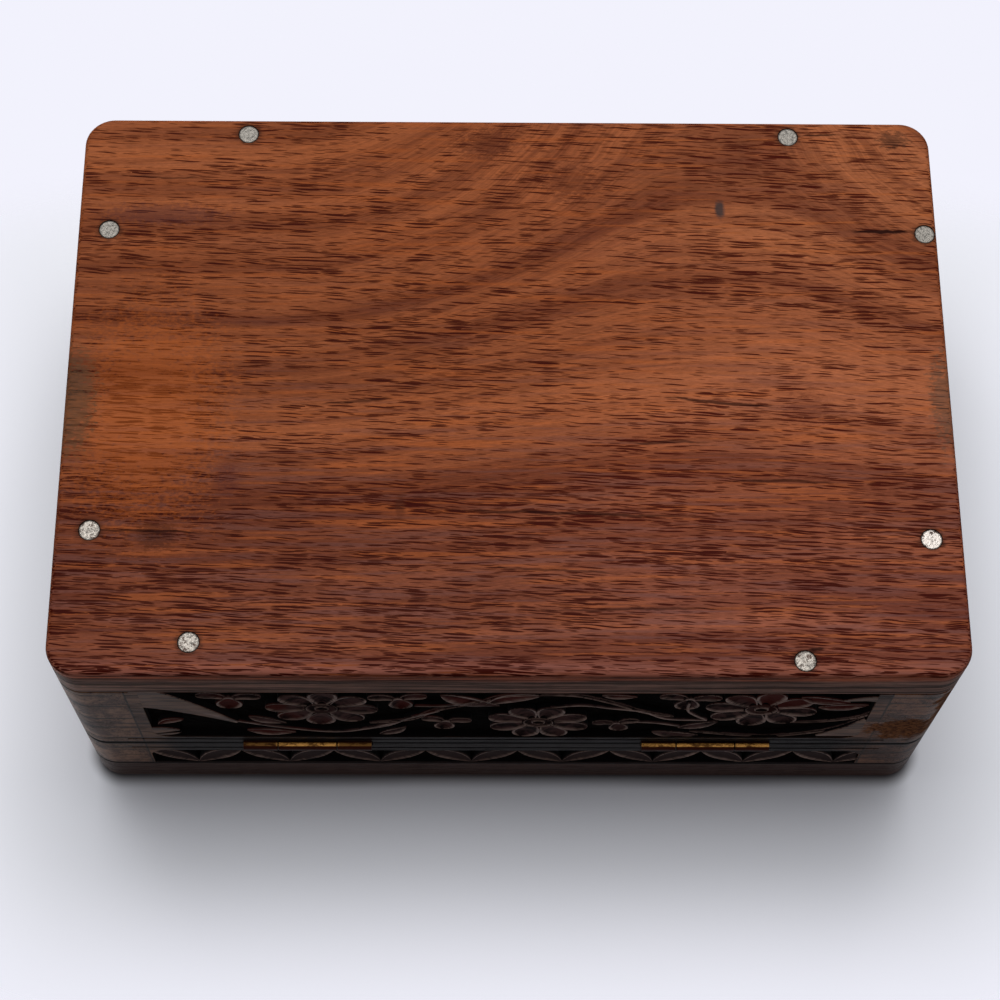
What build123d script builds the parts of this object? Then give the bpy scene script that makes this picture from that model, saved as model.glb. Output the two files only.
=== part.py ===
from build123d import *
import math
import os

# A carved rosewood trinket box, 6 inches long, of the kind made for keepsakes.
# Millimetres. The origin is the centre of the underside, +Z is up, the front
# faces -Y and the two hinges are on the back, at +Y. The lid is modelled shut.
# Four walls stand on a nailed base board. The lid is four low rails under a top
# board. Two small brass butt hinges are let into the rims at the back, and their
# knuckles stand proud of it, so that the lid can swing right over.

# The whole box
box_length = 152.0
box_depth = 105.5
corner_radius = 5.2

# Boards: how tall or thick each one is
base_thick = 9.5
wall_height = 28.5
rail_height = 12.5
top_thick = 9.5
side_thick = 9.5
end_thick = 11.7

# Edges: the glued joints bevelled, and the underside, both rims and the top rounded
seam_edge = 0.3
base_edge = 1.0
rim_edge = 0.6
top_edge = 2.0

# Sunk ground of the carving on the four sides, and the plain strips beside the rims
carving_depth = 1.4
carving_corner = 3.0
wall_strip = 3.5
rail_strip = 4.6
wall_carving_margin = 14.0
rail_carving_margin = 12.0

# Flowers that stand in the sunk field of the front and of the back, on the back's
# place along X and up: where each is, how it is turned and its size
wall_flowers = [((-31.8, 18.7), 4, 1.0), ((5.3, 26.2), 20, 0.96), ((43.2, 18.8), 10, 1.02)]
wall_flower_petals = 8
wall_flower_reach = 8.7
wall_flower_heart = 3.2
wall_flower_petal_half = 2.1
wall_flower_squat = 0.9

# Wood left uncut at the ends of that field, a hair below the face, as outlines
uncut_below_face = 0.05
uncut_wood = [[(-62.5, 10.0), (-62.5, 17.5), (-57.9, 19.1), (-52.0, 22.6), (-47.0, 26.0),
               (-49.6, 21.2), (-54.2, 14.7), (-58.3, 10.0)]]
uncut_wood += [[(-62.5, 29.9), (-62.5, 33.2), (-58.6, 32.9), (-57.7, 31.2), (-58.6, 29.9)]]
uncut_wood += [[(62.5, 23.4), (61.7, 23.9), (59.2, 28.1), (57.0, 30.4), (54.5, 33.0),
                (58.2, 33.3), (62.5, 33.0)]]

# Scribed lines on the plain strips
scribe_width = 0.5
scribe_depth = 0.4
scribe_margin = 9.0
wall_scribe_from_rim = 2.0
rail_scribe_from_rim = 2.6

# Sunk field on top of the lid, and the scribed line round it
field_margin = 13.0
field_depth = 1.4
field_corner = 9.0
top_scribe_margin = 8.5
top_scribe_width = 0.8

# Relief in that field: how high its forms stand, and how deep they are rooted
relief_height = 1.1
relief_root = 0.3
heart_height = 0.38
heart_lap = 0.4
stem_height = 0.95
stem_width = 0.9

# A petal's foot, and the corners that flat cuts leave round its tip, in degrees
petal_foot = 0.7
tip_corners = (55, 18)

# The hollow along a petal: its depth, its floor as a share of the petal's width, and
# how far its sides run out past the petal's edges
hollow_depth = 0.8
hollow_floor = 0.45
hollow_lap = 0.15

# A rosette in the middle of the lid
rosette_petals = 12
rosette_reach = 15.5
rosette_heart = 7.6
rosette_petal_half = 2.5

# A flower and a bud in each quarter, measured in the quarter at the right back
flower_place = (43.5, 20.5)
flower_petals = 8
flower_reach = 10.4
flower_heart = 3.2
flower_petal_half = 2.4
bud_place = (22.5, 29.0)
bud_side_reach = 5.5
bud_side_foot = 0.9
bud_side_half = 1.5
bud_side_drop = 1.0
bud_side_lean = 10
bud_middle_reach = 4.4
bud_middle_half = 1.95

# Leaves, drawn this long and this wide before they are scaled
leaf_drawn = 10.0
leaf_bulge = 1.7
leaf_bow = 0.9
leaf_inset = 0.6
leaf_crease = 0.55
leaf_corners = (0, 0.25, 0.5, 0.75, 1)

# Leaves of a quarter: the place of the foot, the way it points in degrees, its length
leaves = [((17.0, 15.5), 62, 9.0), ((29.0, 7.0), 8, 10.5), ((31.5, 33.5), -8, 9.5)]
leaves += [((57.5, 31.0), 250, 9.5), ((57.5, 8.0), 100, 8.0), ((13.5, 33.5), -35, 9.0)]
leaves += [((1.8, 28.0), 75, 8.0), ((46.5, 5.6), 12, 9.0)]

# Stems of a quarter, each an arc through three places
stems = [((13.0, 9.5), (21.0, 16.0), (22.5, 29.3)), ((17.0, 3.5), (27.0, 6.0), (35.0, 13.0))]
stems += [((27.0, 6.0), (42.0, 4.0), (57.0, 9.0)), ((22.3, 20.0), (31.0, 33.0), (45.0, 35.8))]
stems += [((45.0, 35.8), (56.0, 33.0), (60.0, 22.0)), ((22.0, 22.0), (12.5, 30.5), (3.5, 26.0))]

# Base nails: flat heads, driven a little below the face of the board
nail_head_radius = 1.75
nail_head_thick = 0.7
nail_head_gap = 0.12
nail_sunk = 0.1
nail_shank_radius = 0.75
nail_length = 19.0
nail_point = 2.0

# Where the nails are: how far from the nearer end of their edge, and in from it
front_nails = {"left": (29.3, 3.2), "right": (25.5, 3.2)}
back_nails = {"left": (23.4, 5.6), "right": (27.7, 2.6)}
left_nails = {"front": (22.9, 5.5), "back": (25.3, 5.9)}
right_nails = {"front": (23.1, 2.2), "back": (24.1, 5.4)}

# Hinges
hinge_length = 22.7
hinge_from_end = 29.3
hinge_land = 1.75
pin_out = 0.25
pin_radius = 0.55
pin_clearance = 0.05
knuckle_radius = 1.15
end_knuckle = 6.0
knuckle_gap = 0.25
knuckle_room = 0.3
leaf_thick = 0.8
leaf_room = 0.15

# Countersunk screws of the hinges
screw_head_radius = 1.5
screw_shank_radius = 0.8
screw_length = 6.5
screw_point = 1.5
screw_sunk = 0.05
screw_from_leaf_end = 4.5
screw_from_leaf_edge = 3.2
slot_width = 0.4
slot_depth = 0.35

# A nail or screw lies this far clear of its own hole
fastener_clearance = 0.02

# Levels and places that follow from the sizes above
half_length = box_length / 2
half_depth = box_depth / 2
rim_level = base_thick + wall_height
top_board_level = rim_level + rail_height
lid_level = top_board_level + top_thick
inside_x = half_length - end_thick
inside_y = half_depth - side_thick
pin_y = half_depth + pin_out
leaf_depth = side_thick + pin_out - hinge_land
half_hinge = hinge_length / 2
half_middle_knuckle = hinge_length / 2 - end_knuckle - knuckle_gap


def block(x, y, z):
    """A block between two places on each axis."""
    size = [high - low for low, high in (x, y, z)]
    return Pos(x[0], y[0], z[0]) * Box(*size, align=(Align.MIN,) * 3)


def layer(low, high, under, over):
    """The full outline of the box between two levels. Its lower and its upper edge are
    each given as a way to ease it and a size."""
    outline = RectangleRounded(box_length, box_depth, corner_radius)
    solid = Pos(0, 0, low) * extrude(outline, high - low)
    for level, (ease, size) in ((0, under), (-1, over)):
        solid = ease(solid.edges().group_by(Axis.Z)[level], size)
    return solid


def turned(outline):
    """A round piece about Z, from half its outline as points of (radius, z)."""
    half = make_face(Polyline(*[(radius, 0, z) for radius, z in outline], close=True))
    return revolve(half, Axis.Z)


def sunk_bars(margin, low, high, depth, corner=0):
    """Four bars, one on each side of the box, that sink a carved band or a line."""
    def bar(length):
        band = Rectangle(length, high - low)
        if corner:
            band = RectangleRounded(length, high - low, corner)
        middle = Pos(0, 0, (low + high) / 2)
        return middle * extrude(Plane.XZ * band, depth, both=True)

    along = bar(box_length - 2 * margin)
    across = Rot(0, 0, 90) * bar(box_depth - 2 * margin)
    bars = [Pos(0, side * half_depth, 0) * along for side in (-1, 1)]
    return bars + [Pos(side * half_length, 0, 0) * across for side in (-1, 1)]


def four_boards(ring):
    """Parts a ring of wood at its corners, where the end boards run right through."""
    middle = (-inside_x, inside_x)
    wide = (-half_depth, half_depth)
    tall = (0, lid_level)
    return {
        "front": ring & block(middle, (-half_depth, -inside_y), tall),
        "back": ring & block(middle, (inside_y, half_depth), tall),
        "left": ring & block((-half_length, -inside_x), wide, tall),
        "right": ring & block((inside_x, half_length), wide, tall),
    }


def nail_places():
    """Where the eight nails of the base are, as (x, y)."""
    turn = {"left": -1, "right": 1, "front": -1, "back": 1}
    places = []
    for side, row in (("front", front_nails), ("back", back_nails)):
        for end, (along, inset) in row.items():
            x = turn[end] * (half_length - along)
            places.append((x, turn[side] * (half_depth - inset)))
    for end, row in (("left", left_nails), ("right", right_nails)):
        for side, (along, inset) in row.items():
            y = turn[side] * (half_depth - along)
            places.append((turn[end] * (half_length - inset), y))
    return places


def nail():
    """A wire nail, point up, with the face of its head at z = 0."""
    shank = nail_length - nail_point
    outline = [(0, 0), (nail_head_radius, 0), (nail_head_radius, nail_head_thick)]
    outline += [(nail_shank_radius, nail_head_thick), (nail_shank_radius, shank)]
    return turned(outline + [(0, nail_length)])


def nail_hole():
    """The hole that a nail needs, with the ring that shows round its head."""
    head = nail_head_radius + nail_head_gap
    shank = nail_shank_radius + fastener_clearance
    tip = nail_length + fastener_clearance
    outline = [(0, -base_edge), (head, -base_edge), (head, nail_head_thick)]
    outline += [(shank, nail_head_thick), (shank, tip - nail_point), (0, tip)]
    return turned(outline)


def screw_body(head, shank, above, tip):
    """A countersunk body, point down, with the face of its head at z = 0."""
    cone = head - shank
    outline = [(0, above), (head, above), (head, 0), (shank, -cone)]
    outline += [(shank, screw_point - tip), (0, -tip)]
    return turned([point for i, point in enumerate(outline) if point not in outline[:i]])


def screw():
    """A countersunk brass wood screw with a plain slot."""
    slot = Box(3 * screw_head_radius, slot_width, 2 * slot_depth)
    return screw_body(screw_head_radius, screw_shank_radius, 0, screw_length) - slot


def screw_hole():
    """The hole that a screw needs in the leaf and in the wood under it."""
    head = screw_head_radius + fastener_clearance
    shank = screw_shank_radius + fastener_clearance
    return screw_body(head, shank, leaf_thick, screw_length + fastener_clearance)


def on_screws(piece):
    """A copy of the piece at each screw of the leaf below the pin, as one group."""
    x = half_hinge - screw_from_leaf_end
    y = screw_from_leaf_edge - leaf_depth
    z = leaf_thick - knuckle_radius - screw_sunk
    return Compound([Pos(side * x, y, z) * piece for side in (-1, 1)])


def rod(stretches, radius):
    """Round stretches on the hinge's pin, each from one place along it to another."""
    bars = []
    for start, end in stretches:
        bar = Rot(0, 90, 0) * Cylinder(radius, end - start)
        bars.append(Pos((start + end) / 2, 0, 0) * bar)
    return bars


def leaf(knuckles, gaps):
    """A leaf that lies below the pin and curls round it along some stretches.
    The gaps are where the other leaf's knuckles turn."""
    whole = (-half_hinge, half_hinge)
    plate = block(whole, (-leaf_depth, 0), (-knuckle_radius, leaf_thick - knuckle_radius))
    room = knuckle_radius + knuckle_room
    for gap in gaps:
        plate -= block(gap, (-room, room), (-room, room))
    for knuckle in rod(knuckles, knuckle_radius):
        plate += knuckle
    for bore in rod([whole], pin_radius + pin_clearance):
        plate -= bore
    return plate - on_screws(screw_hole())


def hinge():
    """The pieces of one hinge, with its pin along X through the origin."""
    near = half_middle_knuckle
    far = half_middle_knuckle + knuckle_gap
    outer = [(-half_hinge, -far), (far, half_hinge)]
    beside = [(-half_hinge, -near), (near, half_hinge)]
    lid_leaf = leaf([(-near, near)], beside)
    return {
        "box_leaf": leaf(outer, [(-far, far)]),
        "box_screws": on_screws(screw()),
        "pin": rod([(-half_hinge, half_hinge)], pin_radius)[0],
        "lid_leaf": mirror(lid_leaf, Plane.XY),
        "lid_screws": mirror(on_screws(screw()), Plane.XY),
    }


def hinge_seat():
    """What is cut from both rims for a hinge: the leaves' mortise, the knuckles'
    groove and the screws' holes."""
    half = half_hinge + leaf_room
    deep = (-leaf_depth - leaf_room, knuckle_radius)
    holes = on_screws(screw_hole())
    seat = block((-half, half), deep, (-knuckle_radius, knuckle_radius))
    seat += rod([(-half, half)], knuckle_radius + knuckle_room)[0]
    return [seat, holes, mirror(holes, Plane.XY)]


def standing(outline, height):
    """A form that stands this high on ground at z = 0, and is rooted below it."""
    return Pos(0, 0, -relief_root) * extrude(outline, relief_root + height)


def petal(foot, tip, half_width):
    """A petal along X with a square foot, hollowed from end to end, its tip in flat cuts."""
    narrow = foot + petal_foot
    wide = tip - half_width
    taper = 90 + math.degrees(math.asin((half_width - petal_foot) / (wide - narrow)))
    corners = [(narrow, petal_foot, taper)]
    corners += [(wide, half_width, turn) for turn in (taper, *tip_corners)]
    left = [(x + radius * math.cos(math.radians(turn)), radius * math.sin(math.radians(turn)))
            for x, radius, turn in corners]
    right = [(x, -y) for x, y in reversed(left)]
    outline = Polyline(*left, *right, close=True)
    floor = hollow_floor * half_width
    side = half_width + hollow_lap
    hollow = [(-floor, -hollow_depth), (floor, -hollow_depth), (side, 0), (side, hollow_depth)]
    hollow += [(-side, hollow_depth), (-side, 0)]
    tool = extrude(Plane.YZ * make_face(Polyline(*hollow, close=True)), 2 * tip)
    return standing(make_face(outline), relief_height) - Pos(0, 0, relief_height) * tool


def flower(petals, heart, reach, half_width, turn=0, squat=1):
    """Petals round a low heart that their feet stand on. A squat one is wider than tall."""
    ring = []
    for k in range(petals):
        angle = math.radians(turn + 360 * k / petals)
        x, y = math.cos(angle), squat * math.sin(angle)
        share = math.hypot(x, y)
        way = math.degrees(math.atan2(y, x))
        ring.append(Rot(0, 0, way) * petal(share * heart, share * reach, half_width))
    return ring + [standing(Circle(squat * heart + heart_lap), heart_height)]


def bud():
    """Three petals, the middle one wider and pointing along Y."""
    low = petal(bud_side_foot, bud_side_reach, bud_side_half)
    turns = (-bud_side_lean, 180 + bud_side_lean)
    sides = [Pos(0, -bud_side_drop, 0) * Rot(0, 0, turn) * low for turn in turns]
    return sides + [Rot(0, 0, 90) * petal(0, bud_middle_reach, bud_middle_half)]


def leaf_form(length):
    """A leaf along X, bowed, in flat cuts, pointed at both ends and creased along it."""
    size = length / leaf_drawn
    start = (leaf_inset, 0)
    end = (length - leaf_inset, 0)
    arcs = [ThreePointArc(start, (length / 2, size * y), end)
            for y in (leaf_bow + leaf_bulge, leaf_bow - leaf_bulge)]
    outline = [Polyline(*[arc @ along for along in leaf_corners]) for arc in arcs]
    crease = [(0, 0), (leaf_bulge, leaf_crease), (leaf_bulge, relief_height)]
    crease += [(-leaf_bulge, relief_height), (-leaf_bulge, leaf_crease)]
    crease = Plane.YZ * make_face(Polyline(*crease, close=True))
    tool = Pos(0, size * leaf_bow, relief_height - leaf_crease) * extrude(crease, length)
    return standing(make_face(outline), relief_height) - tool


def lid_relief():
    """The forms that stand in the field of the lid, on ground at z = 0."""
    quarter = [Pos(*flower_place, 0) * form
               for form in flower(flower_petals, flower_heart, flower_reach, flower_petal_half)]
    quarter += [Pos(*bud_place, 0) * form for form in bud()]
    for foot, turn, length in leaves:
        quarter.append(Pos(*foot, 0) * Rot(0, 0, turn) * leaf_form(length))
    for places in stems:
        quarter.append(standing(trace(ThreePointArc(*places), stem_width), stem_height))
    half = quarter + [mirror(form, Plane.YZ) for form in quarter]
    whole = half + [mirror(form, Plane.XZ) for form in half]
    return whole + flower(rosette_petals, rosette_heart, rosette_reach, rosette_petal_half)


def wall_relief():
    """The forms in the field of the front wall, which is the back's turned half round."""
    forms = []
    for (x, z), turn, size in wall_flowers:
        sizes = [size * length for length in (wall_flower_heart, wall_flower_reach, wall_flower_petal_half)]
        for form in flower(wall_flower_petals, *sizes, -turn, wall_flower_squat):
            forms.append(Pos(-x, z, 0) * form)
    for outline in uncut_wood:
        face = make_face(Polyline(*[(-x, z) for x, z in outline], close=True))
        forms.append(standing(face, carving_depth - uncut_below_face))
    return [Pos(0, carving_depth - half_depth, 0) * (Plane.XZ * form) for form in forms]


# Base board and walls
seam = (chamfer, seam_edge)
rim = (fillet, rim_edge)
base = layer(0, base_thick, (fillet, base_edge), seam)
walls = layer(base_thick, rim_level, seam, rim)
inside = block((-inside_x, inside_x), (-inside_y, inside_y), (0, lid_level))
walls -= inside
carved = rim_level - wall_strip
for bar in sunk_bars(wall_carving_margin, 0, carved, carving_depth, carving_corner):
    walls -= bar
relief = wall_relief()
walls += relief + [Rot(0, 0, 180) * form for form in relief]
line = rim_level - wall_scribe_from_rim
for bar in sunk_bars(scribe_margin, line - scribe_width, line, scribe_depth):
    walls -= bar

nails = []
for x, y in nail_places():
    base -= Pos(x, y, nail_sunk) * nail_hole()
    walls -= Pos(x, y, nail_sunk) * nail_hole()
    nails.append(Pos(x, y, nail_sunk) * nail())

# Lid rails and top board
rails = layer(rim_level, top_board_level, rim, seam) - inside
carved = rim_level + rail_strip
for bar in sunk_bars(rail_carving_margin, carved, lid_level, carving_depth, carving_corner):
    rails -= bar
line = rim_level + rail_scribe_from_rim
for bar in sunk_bars(scribe_margin, line, line + scribe_width, scribe_depth):
    rails -= bar

top = layer(top_board_level, lid_level, seam, (fillet, top_edge))


def top_outline(margin, corner):
    """A rounded outline on top of the lid, this far in from its edges."""
    return RectangleRounded(box_length - 2 * margin, box_depth - 2 * margin, corner)


field = top_outline(field_margin, field_corner)
scribe = top_outline(top_scribe_margin, field_corner)
scribe -= top_outline(top_scribe_margin + top_scribe_width, field_corner - top_scribe_width)
top -= Pos(0, 0, lid_level) * extrude(field, field_depth, both=True)
top += [Pos(0, 0, lid_level - field_depth) * form for form in lid_relief()]
top -= Pos(0, 0, lid_level) * extrude(scribe, scribe_depth, both=True)

# Hinges, and their seats in both rims
parts = {}
for name, side in (("left", -1), ("right", 1)):
    x = side * (half_length - hinge_from_end - half_hinge)
    place = Pos(x, pin_y, rim_level)
    for cut in hinge_seat():
        walls -= place * cut
        rails -= place * cut
    for piece, solid in hinge().items():
        parts[f"{name}_hinge_{piece}"] = place * solid

parts["base_board"] = base
parts["base_nails"] = Compound(nails)
parts["lid_board"] = top
for side, board in four_boards(walls).items():
    parts[f"{side}_wall"] = board
for side, board in four_boards(rails).items():
    parts[f"lid_{side}_rail"] = board

os.makedirs("parts", exist_ok=True)
for name, solid in parts.items():
    export_step(solid, f"parts/{name}.step")
print(len(parts), "parts,", lid_level, "mm tall, lid", top_thick + rail_height, "mm")
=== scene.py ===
# %% [markdown]
# # A carved wooden trinket box
# The box stands upright here, with its hinges at the back, as its solids do. In the photograph
# it was laid on its lid, so that the nailed base shows. Turning the whole box over would break the
# rule that solids stay where they are, so the camera goes under the box and looks up instead.
# This first cell loads the solids and keeps their overall size.

# %% Load the box's solids
import math
import random

import bpy
from mathutils import Matrix, Vector


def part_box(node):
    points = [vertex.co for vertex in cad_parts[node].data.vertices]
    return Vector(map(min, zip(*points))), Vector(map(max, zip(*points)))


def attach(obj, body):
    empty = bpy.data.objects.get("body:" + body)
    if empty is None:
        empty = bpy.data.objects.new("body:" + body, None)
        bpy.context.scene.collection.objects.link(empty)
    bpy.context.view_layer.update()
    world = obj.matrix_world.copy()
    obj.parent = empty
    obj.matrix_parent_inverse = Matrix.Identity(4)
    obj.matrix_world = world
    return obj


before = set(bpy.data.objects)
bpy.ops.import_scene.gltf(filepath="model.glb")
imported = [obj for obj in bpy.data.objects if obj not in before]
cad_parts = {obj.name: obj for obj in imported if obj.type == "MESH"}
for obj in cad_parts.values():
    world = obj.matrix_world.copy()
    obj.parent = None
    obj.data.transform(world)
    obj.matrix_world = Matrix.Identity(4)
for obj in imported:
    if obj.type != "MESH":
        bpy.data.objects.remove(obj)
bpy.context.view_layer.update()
bpy.ops.object.select_all(action="DESELECT")

# %% [markdown]
# ## Sizes
# Blender works in metres and the box was measured in millimetres, so one constant turns one into
# the other. The rest are the places that the looks have to agree on: the outside of the walls, the
# level where the lid parts from the box, and the sunk fields that hold the carving. They are read
# off the solids where they can be.

# %% Sizes that the finishes and the carving share
MM = 0.001
base_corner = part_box("base_board")[1]
half_length = base_corner.x
half_depth = base_corner.y
rim_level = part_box("back_wall")[1].z
board_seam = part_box("lid_board")[0].z
lid_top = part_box("lid_board")[1].z
base_top = base_corner.z
joint_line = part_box("back_wall")[1].x
carving_depth = 1.4 * MM
# the rounding of the corners in plan, in millimetres because only the materials use it
outline_corner = 5.2
hinge_middles = {
    side: (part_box(side + "_hinge_pin")[0].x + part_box(side + "_hinge_pin")[1].x) / 2
    for side in ("left", "right")
}
print("half length", half_length, "half depth", half_depth, "rim", rim_level, "lid top", lid_top)

# %% [markdown]
# ## The camera
# The photograph was taken from above the box's upturned base, and a little from its back. Its place
# was worked out from the corners of the base and of the lid. In the upright frame that is under
# the box. A camera matrix has the picture's right, up and backward directions as its columns.

# %% Camera
camera_data = bpy.data.cameras.new("camera")
camera = bpy.data.objects.new("camera", camera_data)
bpy.context.scene.collection.objects.link(camera)
bpy.context.scene.camera = camera
camera_data.lens = 81.5
camera_data.sensor_width = 36
camera_data.clip_start = 0.01
picture_right = Vector((0.99991, 0.00209, -0.01342))
picture_down = Vector((0.00329, 0.92135, 0.38872))
looking = Vector((0.01317, -0.38873, 0.92126))
pose = Matrix((picture_right, -picture_down, -looking)).transposed().to_4x4()
pose.translation = Vector((-6.63, 169.66, -350.5)) * MM
camera.matrix_world = pose
print("camera at", tuple(round(v, 3) for v in camera.location))

# %% [markdown]
# ## Nodes in code
# Materials are graphs of nodes. Small helpers keep the cells short: one adds a node and fills or
# links its inputs, and the others do arithmetic on values and on places. A value is a socket or a
# plain number. A socket knows its tree, so the arithmetic finds from its values where its node
# goes, and gives back the output of that node.

# %% Helpers for nodes
def add_node(tree, kind, inputs=None, **settings):
    """Adds a node, sets its options, and fills or links its inputs."""
    made = tree.nodes.new(kind)
    for name, value in settings.items():
        setattr(made, name, value)
    for name, value in (inputs or {}).items():
        if isinstance(value, bpy.types.NodeSocket):
            tree.links.new(value, made.inputs[name])
        else:
            made.inputs[name].default_value = value
    return made


def linked_node(kind, inputs, **settings):
    """Adds a node to the tree that its inputs come from, and gives back its outputs."""
    tree = next(value.id_data for value in inputs.values() if isinstance(value, bpy.types.NodeSocket))
    return add_node(tree, kind, inputs, **settings).outputs


def calc(operation, *values, clamp=False):
    """Arithmetic on sockets or plain numbers."""
    inputs = dict(enumerate(values))
    return linked_node("ShaderNodeMath", inputs, operation=operation, use_clamp=clamp)[0]


def times(first, second):
    return calc("MULTIPLY", first, second)


def plus(first, second):
    return calc("ADD", first, second)


def minus(first, second):
    return calc("SUBTRACT", first, second)


def larger(first, second):
    return calc("MAXIMUM", first, second)


def smaller(first, second):
    return calc("MINIMUM", first, second)


def distance(value):
    """How far a value is from zero, on either side."""
    return calc("ABSOLUTE", value)


def apart(vector):
    """The X, Y and Z of a place."""
    return linked_node("ShaderNodeSeparateXYZ", {0: vector})


def point(x=0.0, y=0.0, z=0.0):
    """A place from its X, Y and Z."""
    return linked_node("ShaderNodeCombineXYZ", {0: x, 1: y, 2: z})[0]


def vector_calc(operation, *values):
    """Arithmetic on places, which gives a place or one value."""
    outputs = linked_node("ShaderNodeVectorMath", dict(enumerate(values)), operation=operation)
    return outputs["Value" if operation in ("LENGTH", "DISTANCE", "DOT_PRODUCT") else "Vector"]


print("helpers for nodes and arithmetic")

# %% [markdown]
# ## Masks, colours and materials
# A mask fades in between two values, and noise gives it a ragged edge. Colours are written as screens
# have them, from 0 to 255. The groups further down take millimetres, so each material starts with
# its place on the object in millimetres.

# %% Helpers for masks, colours and materials
def fade(value, start, end, to_start=0.0, to_end=1.0):
    """Goes smoothly from to_start, at start, to to_end, at end."""
    inputs = {0: value, 1: start, 2: end, 3: to_start, 4: to_end}
    return linked_node("ShaderNodeMapRange", inputs, interpolation_type="SMOOTHSTEP")[0]


def colour(*rgb):
    """A colour given as 0 to 255, as screens have it, in Blender's linear values."""
    linear = [((c / 255 + 0.055) / 1.055) ** 2.4 if c > 10 else c / 255 / 12.92 for c in rgb]
    return (*linear, 1)


def blend_colour(mask, below, above, way="MIX"):
    """Lays one colour over another where the mask is."""
    inputs = {0: mask, 6: below, 7: above}
    return linked_node("ShaderNodeMix", inputs, data_type="RGBA", blend_type=way)[2]


def painted(tone, mask, rgb):
    """Lays a colour, given as 0 to 255, over another one where the mask is."""
    return blend_colour(mask, tone, colour(*rgb))


def tinted(mask, tone, by):
    """Multiplies a colour by red, green and blue factors where the mask is."""
    return blend_colour(mask, tone, (*by, 1), "MULTIPLY")


def brightened(tone, by):
    """Multiplies a colour by one value from a socket."""
    return linked_node("ShaderNodeVectorMath", {0: tone, "Scale": by}, operation="SCALE")["Vector"]


def noise(vector, stretch, detail, roughness=0.5):
    """Noise whose cells are 1 / stretch long on each axis."""
    place = vector_calc("MULTIPLY", vector, stretch)
    inputs = {"Vector": place, "Scale": 1.0, "Detail": detail, "Roughness": roughness}
    return linked_node("ShaderNodeTexNoise", inputs)[0]


def new_group(name, inputs, outputs):
    """An empty shader group with named sockets, its input node and its output node."""
    group = bpy.data.node_groups.new(name, "ShaderNodeTree")
    for socket, kind, value in inputs:
        made = group.interface.new_socket(socket, in_out="INPUT", socket_type="NodeSocket" + kind)
        if value is not None:
            made.default_value = value
    for socket, kind in outputs:
        group.interface.new_socket(socket, in_out="OUTPUT", socket_type="NodeSocket" + kind)
    return group, group.nodes.new("NodeGroupInput").outputs, group.nodes.new("NodeGroupOutput")


def use_group(group, inputs):
    """Adds a shader group as one node, and gives back all its outputs."""
    return linked_node("ShaderNodeGroup", inputs, node_tree=group)


def new_material(name, roughness=0.5, specular=0.5):
    """A material with its Principled shader, and a vector that counts in millimetres."""
    made = bpy.data.materials.new(name)
    made.use_nodes = True
    tree = made.node_tree
    shader = tree.nodes["Principled BSDF"]
    shader.inputs["Roughness"].default_value = roughness
    shader.inputs["Specular IOR Level"].default_value = specular
    place = tree.nodes.new("ShaderNodeTexCoord").outputs["Object"]
    in_mm = vector_calc("MULTIPLY", place, (1 / MM, 1 / MM, 1 / MM))
    return made, tree, shader, in_mm


def set_bump(shader, height, strength, depth):
    """Fine relief in the shading alone, as deep as depth in millimetres."""
    inputs = {"Height": height, "Strength": strength, "Distance": depth * MM}
    bump = linked_node("ShaderNodeBump", inputs)[0]
    bump.id_data.links.new(bump, shader.inputs["Normal"])


def dress(node, material):
    """Gives a solid its material."""
    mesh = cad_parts[node].data
    mesh.materials.clear()
    mesh.materials.append(material)


print("helpers for masks, colours and materials")

# %% [markdown]
# ## Pores
# Hardwood like this shows its pores as short dark pen strokes along the grain. A pore is a thin
# tube, so each one is the middle of a cell that is drawn out along X, with a size of its own.
# Cells give every stroke two pointed ends, which stretched noise alone does not.

# %% Shader group: strokes
strokes, given, put = new_group(
    "strokes",
    [
        ("Place", "Vector", None),
        ("Cells", "Vector", (0.2, 2.0, 1.4)),
        ("Smallest", "Float", 0.1),
        ("Largest", "Float", 0.4),
    ],
    [("Mask", "Float")],
)
cell_place = vector_calc("MULTIPLY", given["Place"], given["Cells"])
cells = linked_node("ShaderNodeTexVoronoi", {"Vector": cell_place, "Scale": 1.0})
chance = linked_node("ShaderNodeSeparateColor", {0: cells["Color"]})[0]
more = times(chance, minus(given["Largest"], given["Smallest"]))
size = smaller(plus(given["Smallest"], more), 0.43)
outside = minus(cells["Distance"], size)
strokes.links.new(fade(outside, -0.07, 0.05, 1.0, 0.0), put.inputs["Mask"])
print("strokes:", len(strokes.nodes), "nodes")

# %% [markdown]
# ## Wood grain
# Every board is the same reddish hardwood: soft bands of growth rings, fine fibres, and pores in
# three sizes. The group takes a place in millimetres whose X runs along the grain, so a board that
# is cut across only has to swap two axes first. The rings may bend where the pores run straight, as
# they do in a flat-sawn board, and a board may bring rings of its own.

# %% Shader group: wood grain
wood_grain, given, put = new_group(
    "wood_grain",
    [
        ("Place", "Vector", None),
        ("Bend", "Float", 0.0),
        ("Own Rings", "Float", 0.0),
        ("Crowding", "Float", 0.0),
        ("Light", "Color", colour(154, 88, 55)),
        ("Dark", "Color", colour(98, 48, 29)),
        ("Pore Colour", "Color", colour(56, 5, 0)),
        ("Bands", "Float", 1.0),
        ("Pores", "Float", 1.0),
    ],
    [("Color", "Color"), ("Pores", "Float"), ("Height", "Float")],
)
drift = noise(given["Place"], (0.02, 0.09, 0.09), 1.0)
drift = times(minus(drift, 0.5), 3.0)
bend = point(y=plus(drift, given["Bend"]))
grain = vector_calc("ADD", given["Place"], bend)
broad = noise(grain, (0.008, 0.16, 0.16), 2.0, 0.55)
narrow = noise(grain, (0.02, 0.75, 0.75), 3.0, 0.6)
band = calc("MULTIPLY_ADD", broad, 0.55, times(narrow, 0.45))
band = fade(band, 0.40, 0.60)
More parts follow.
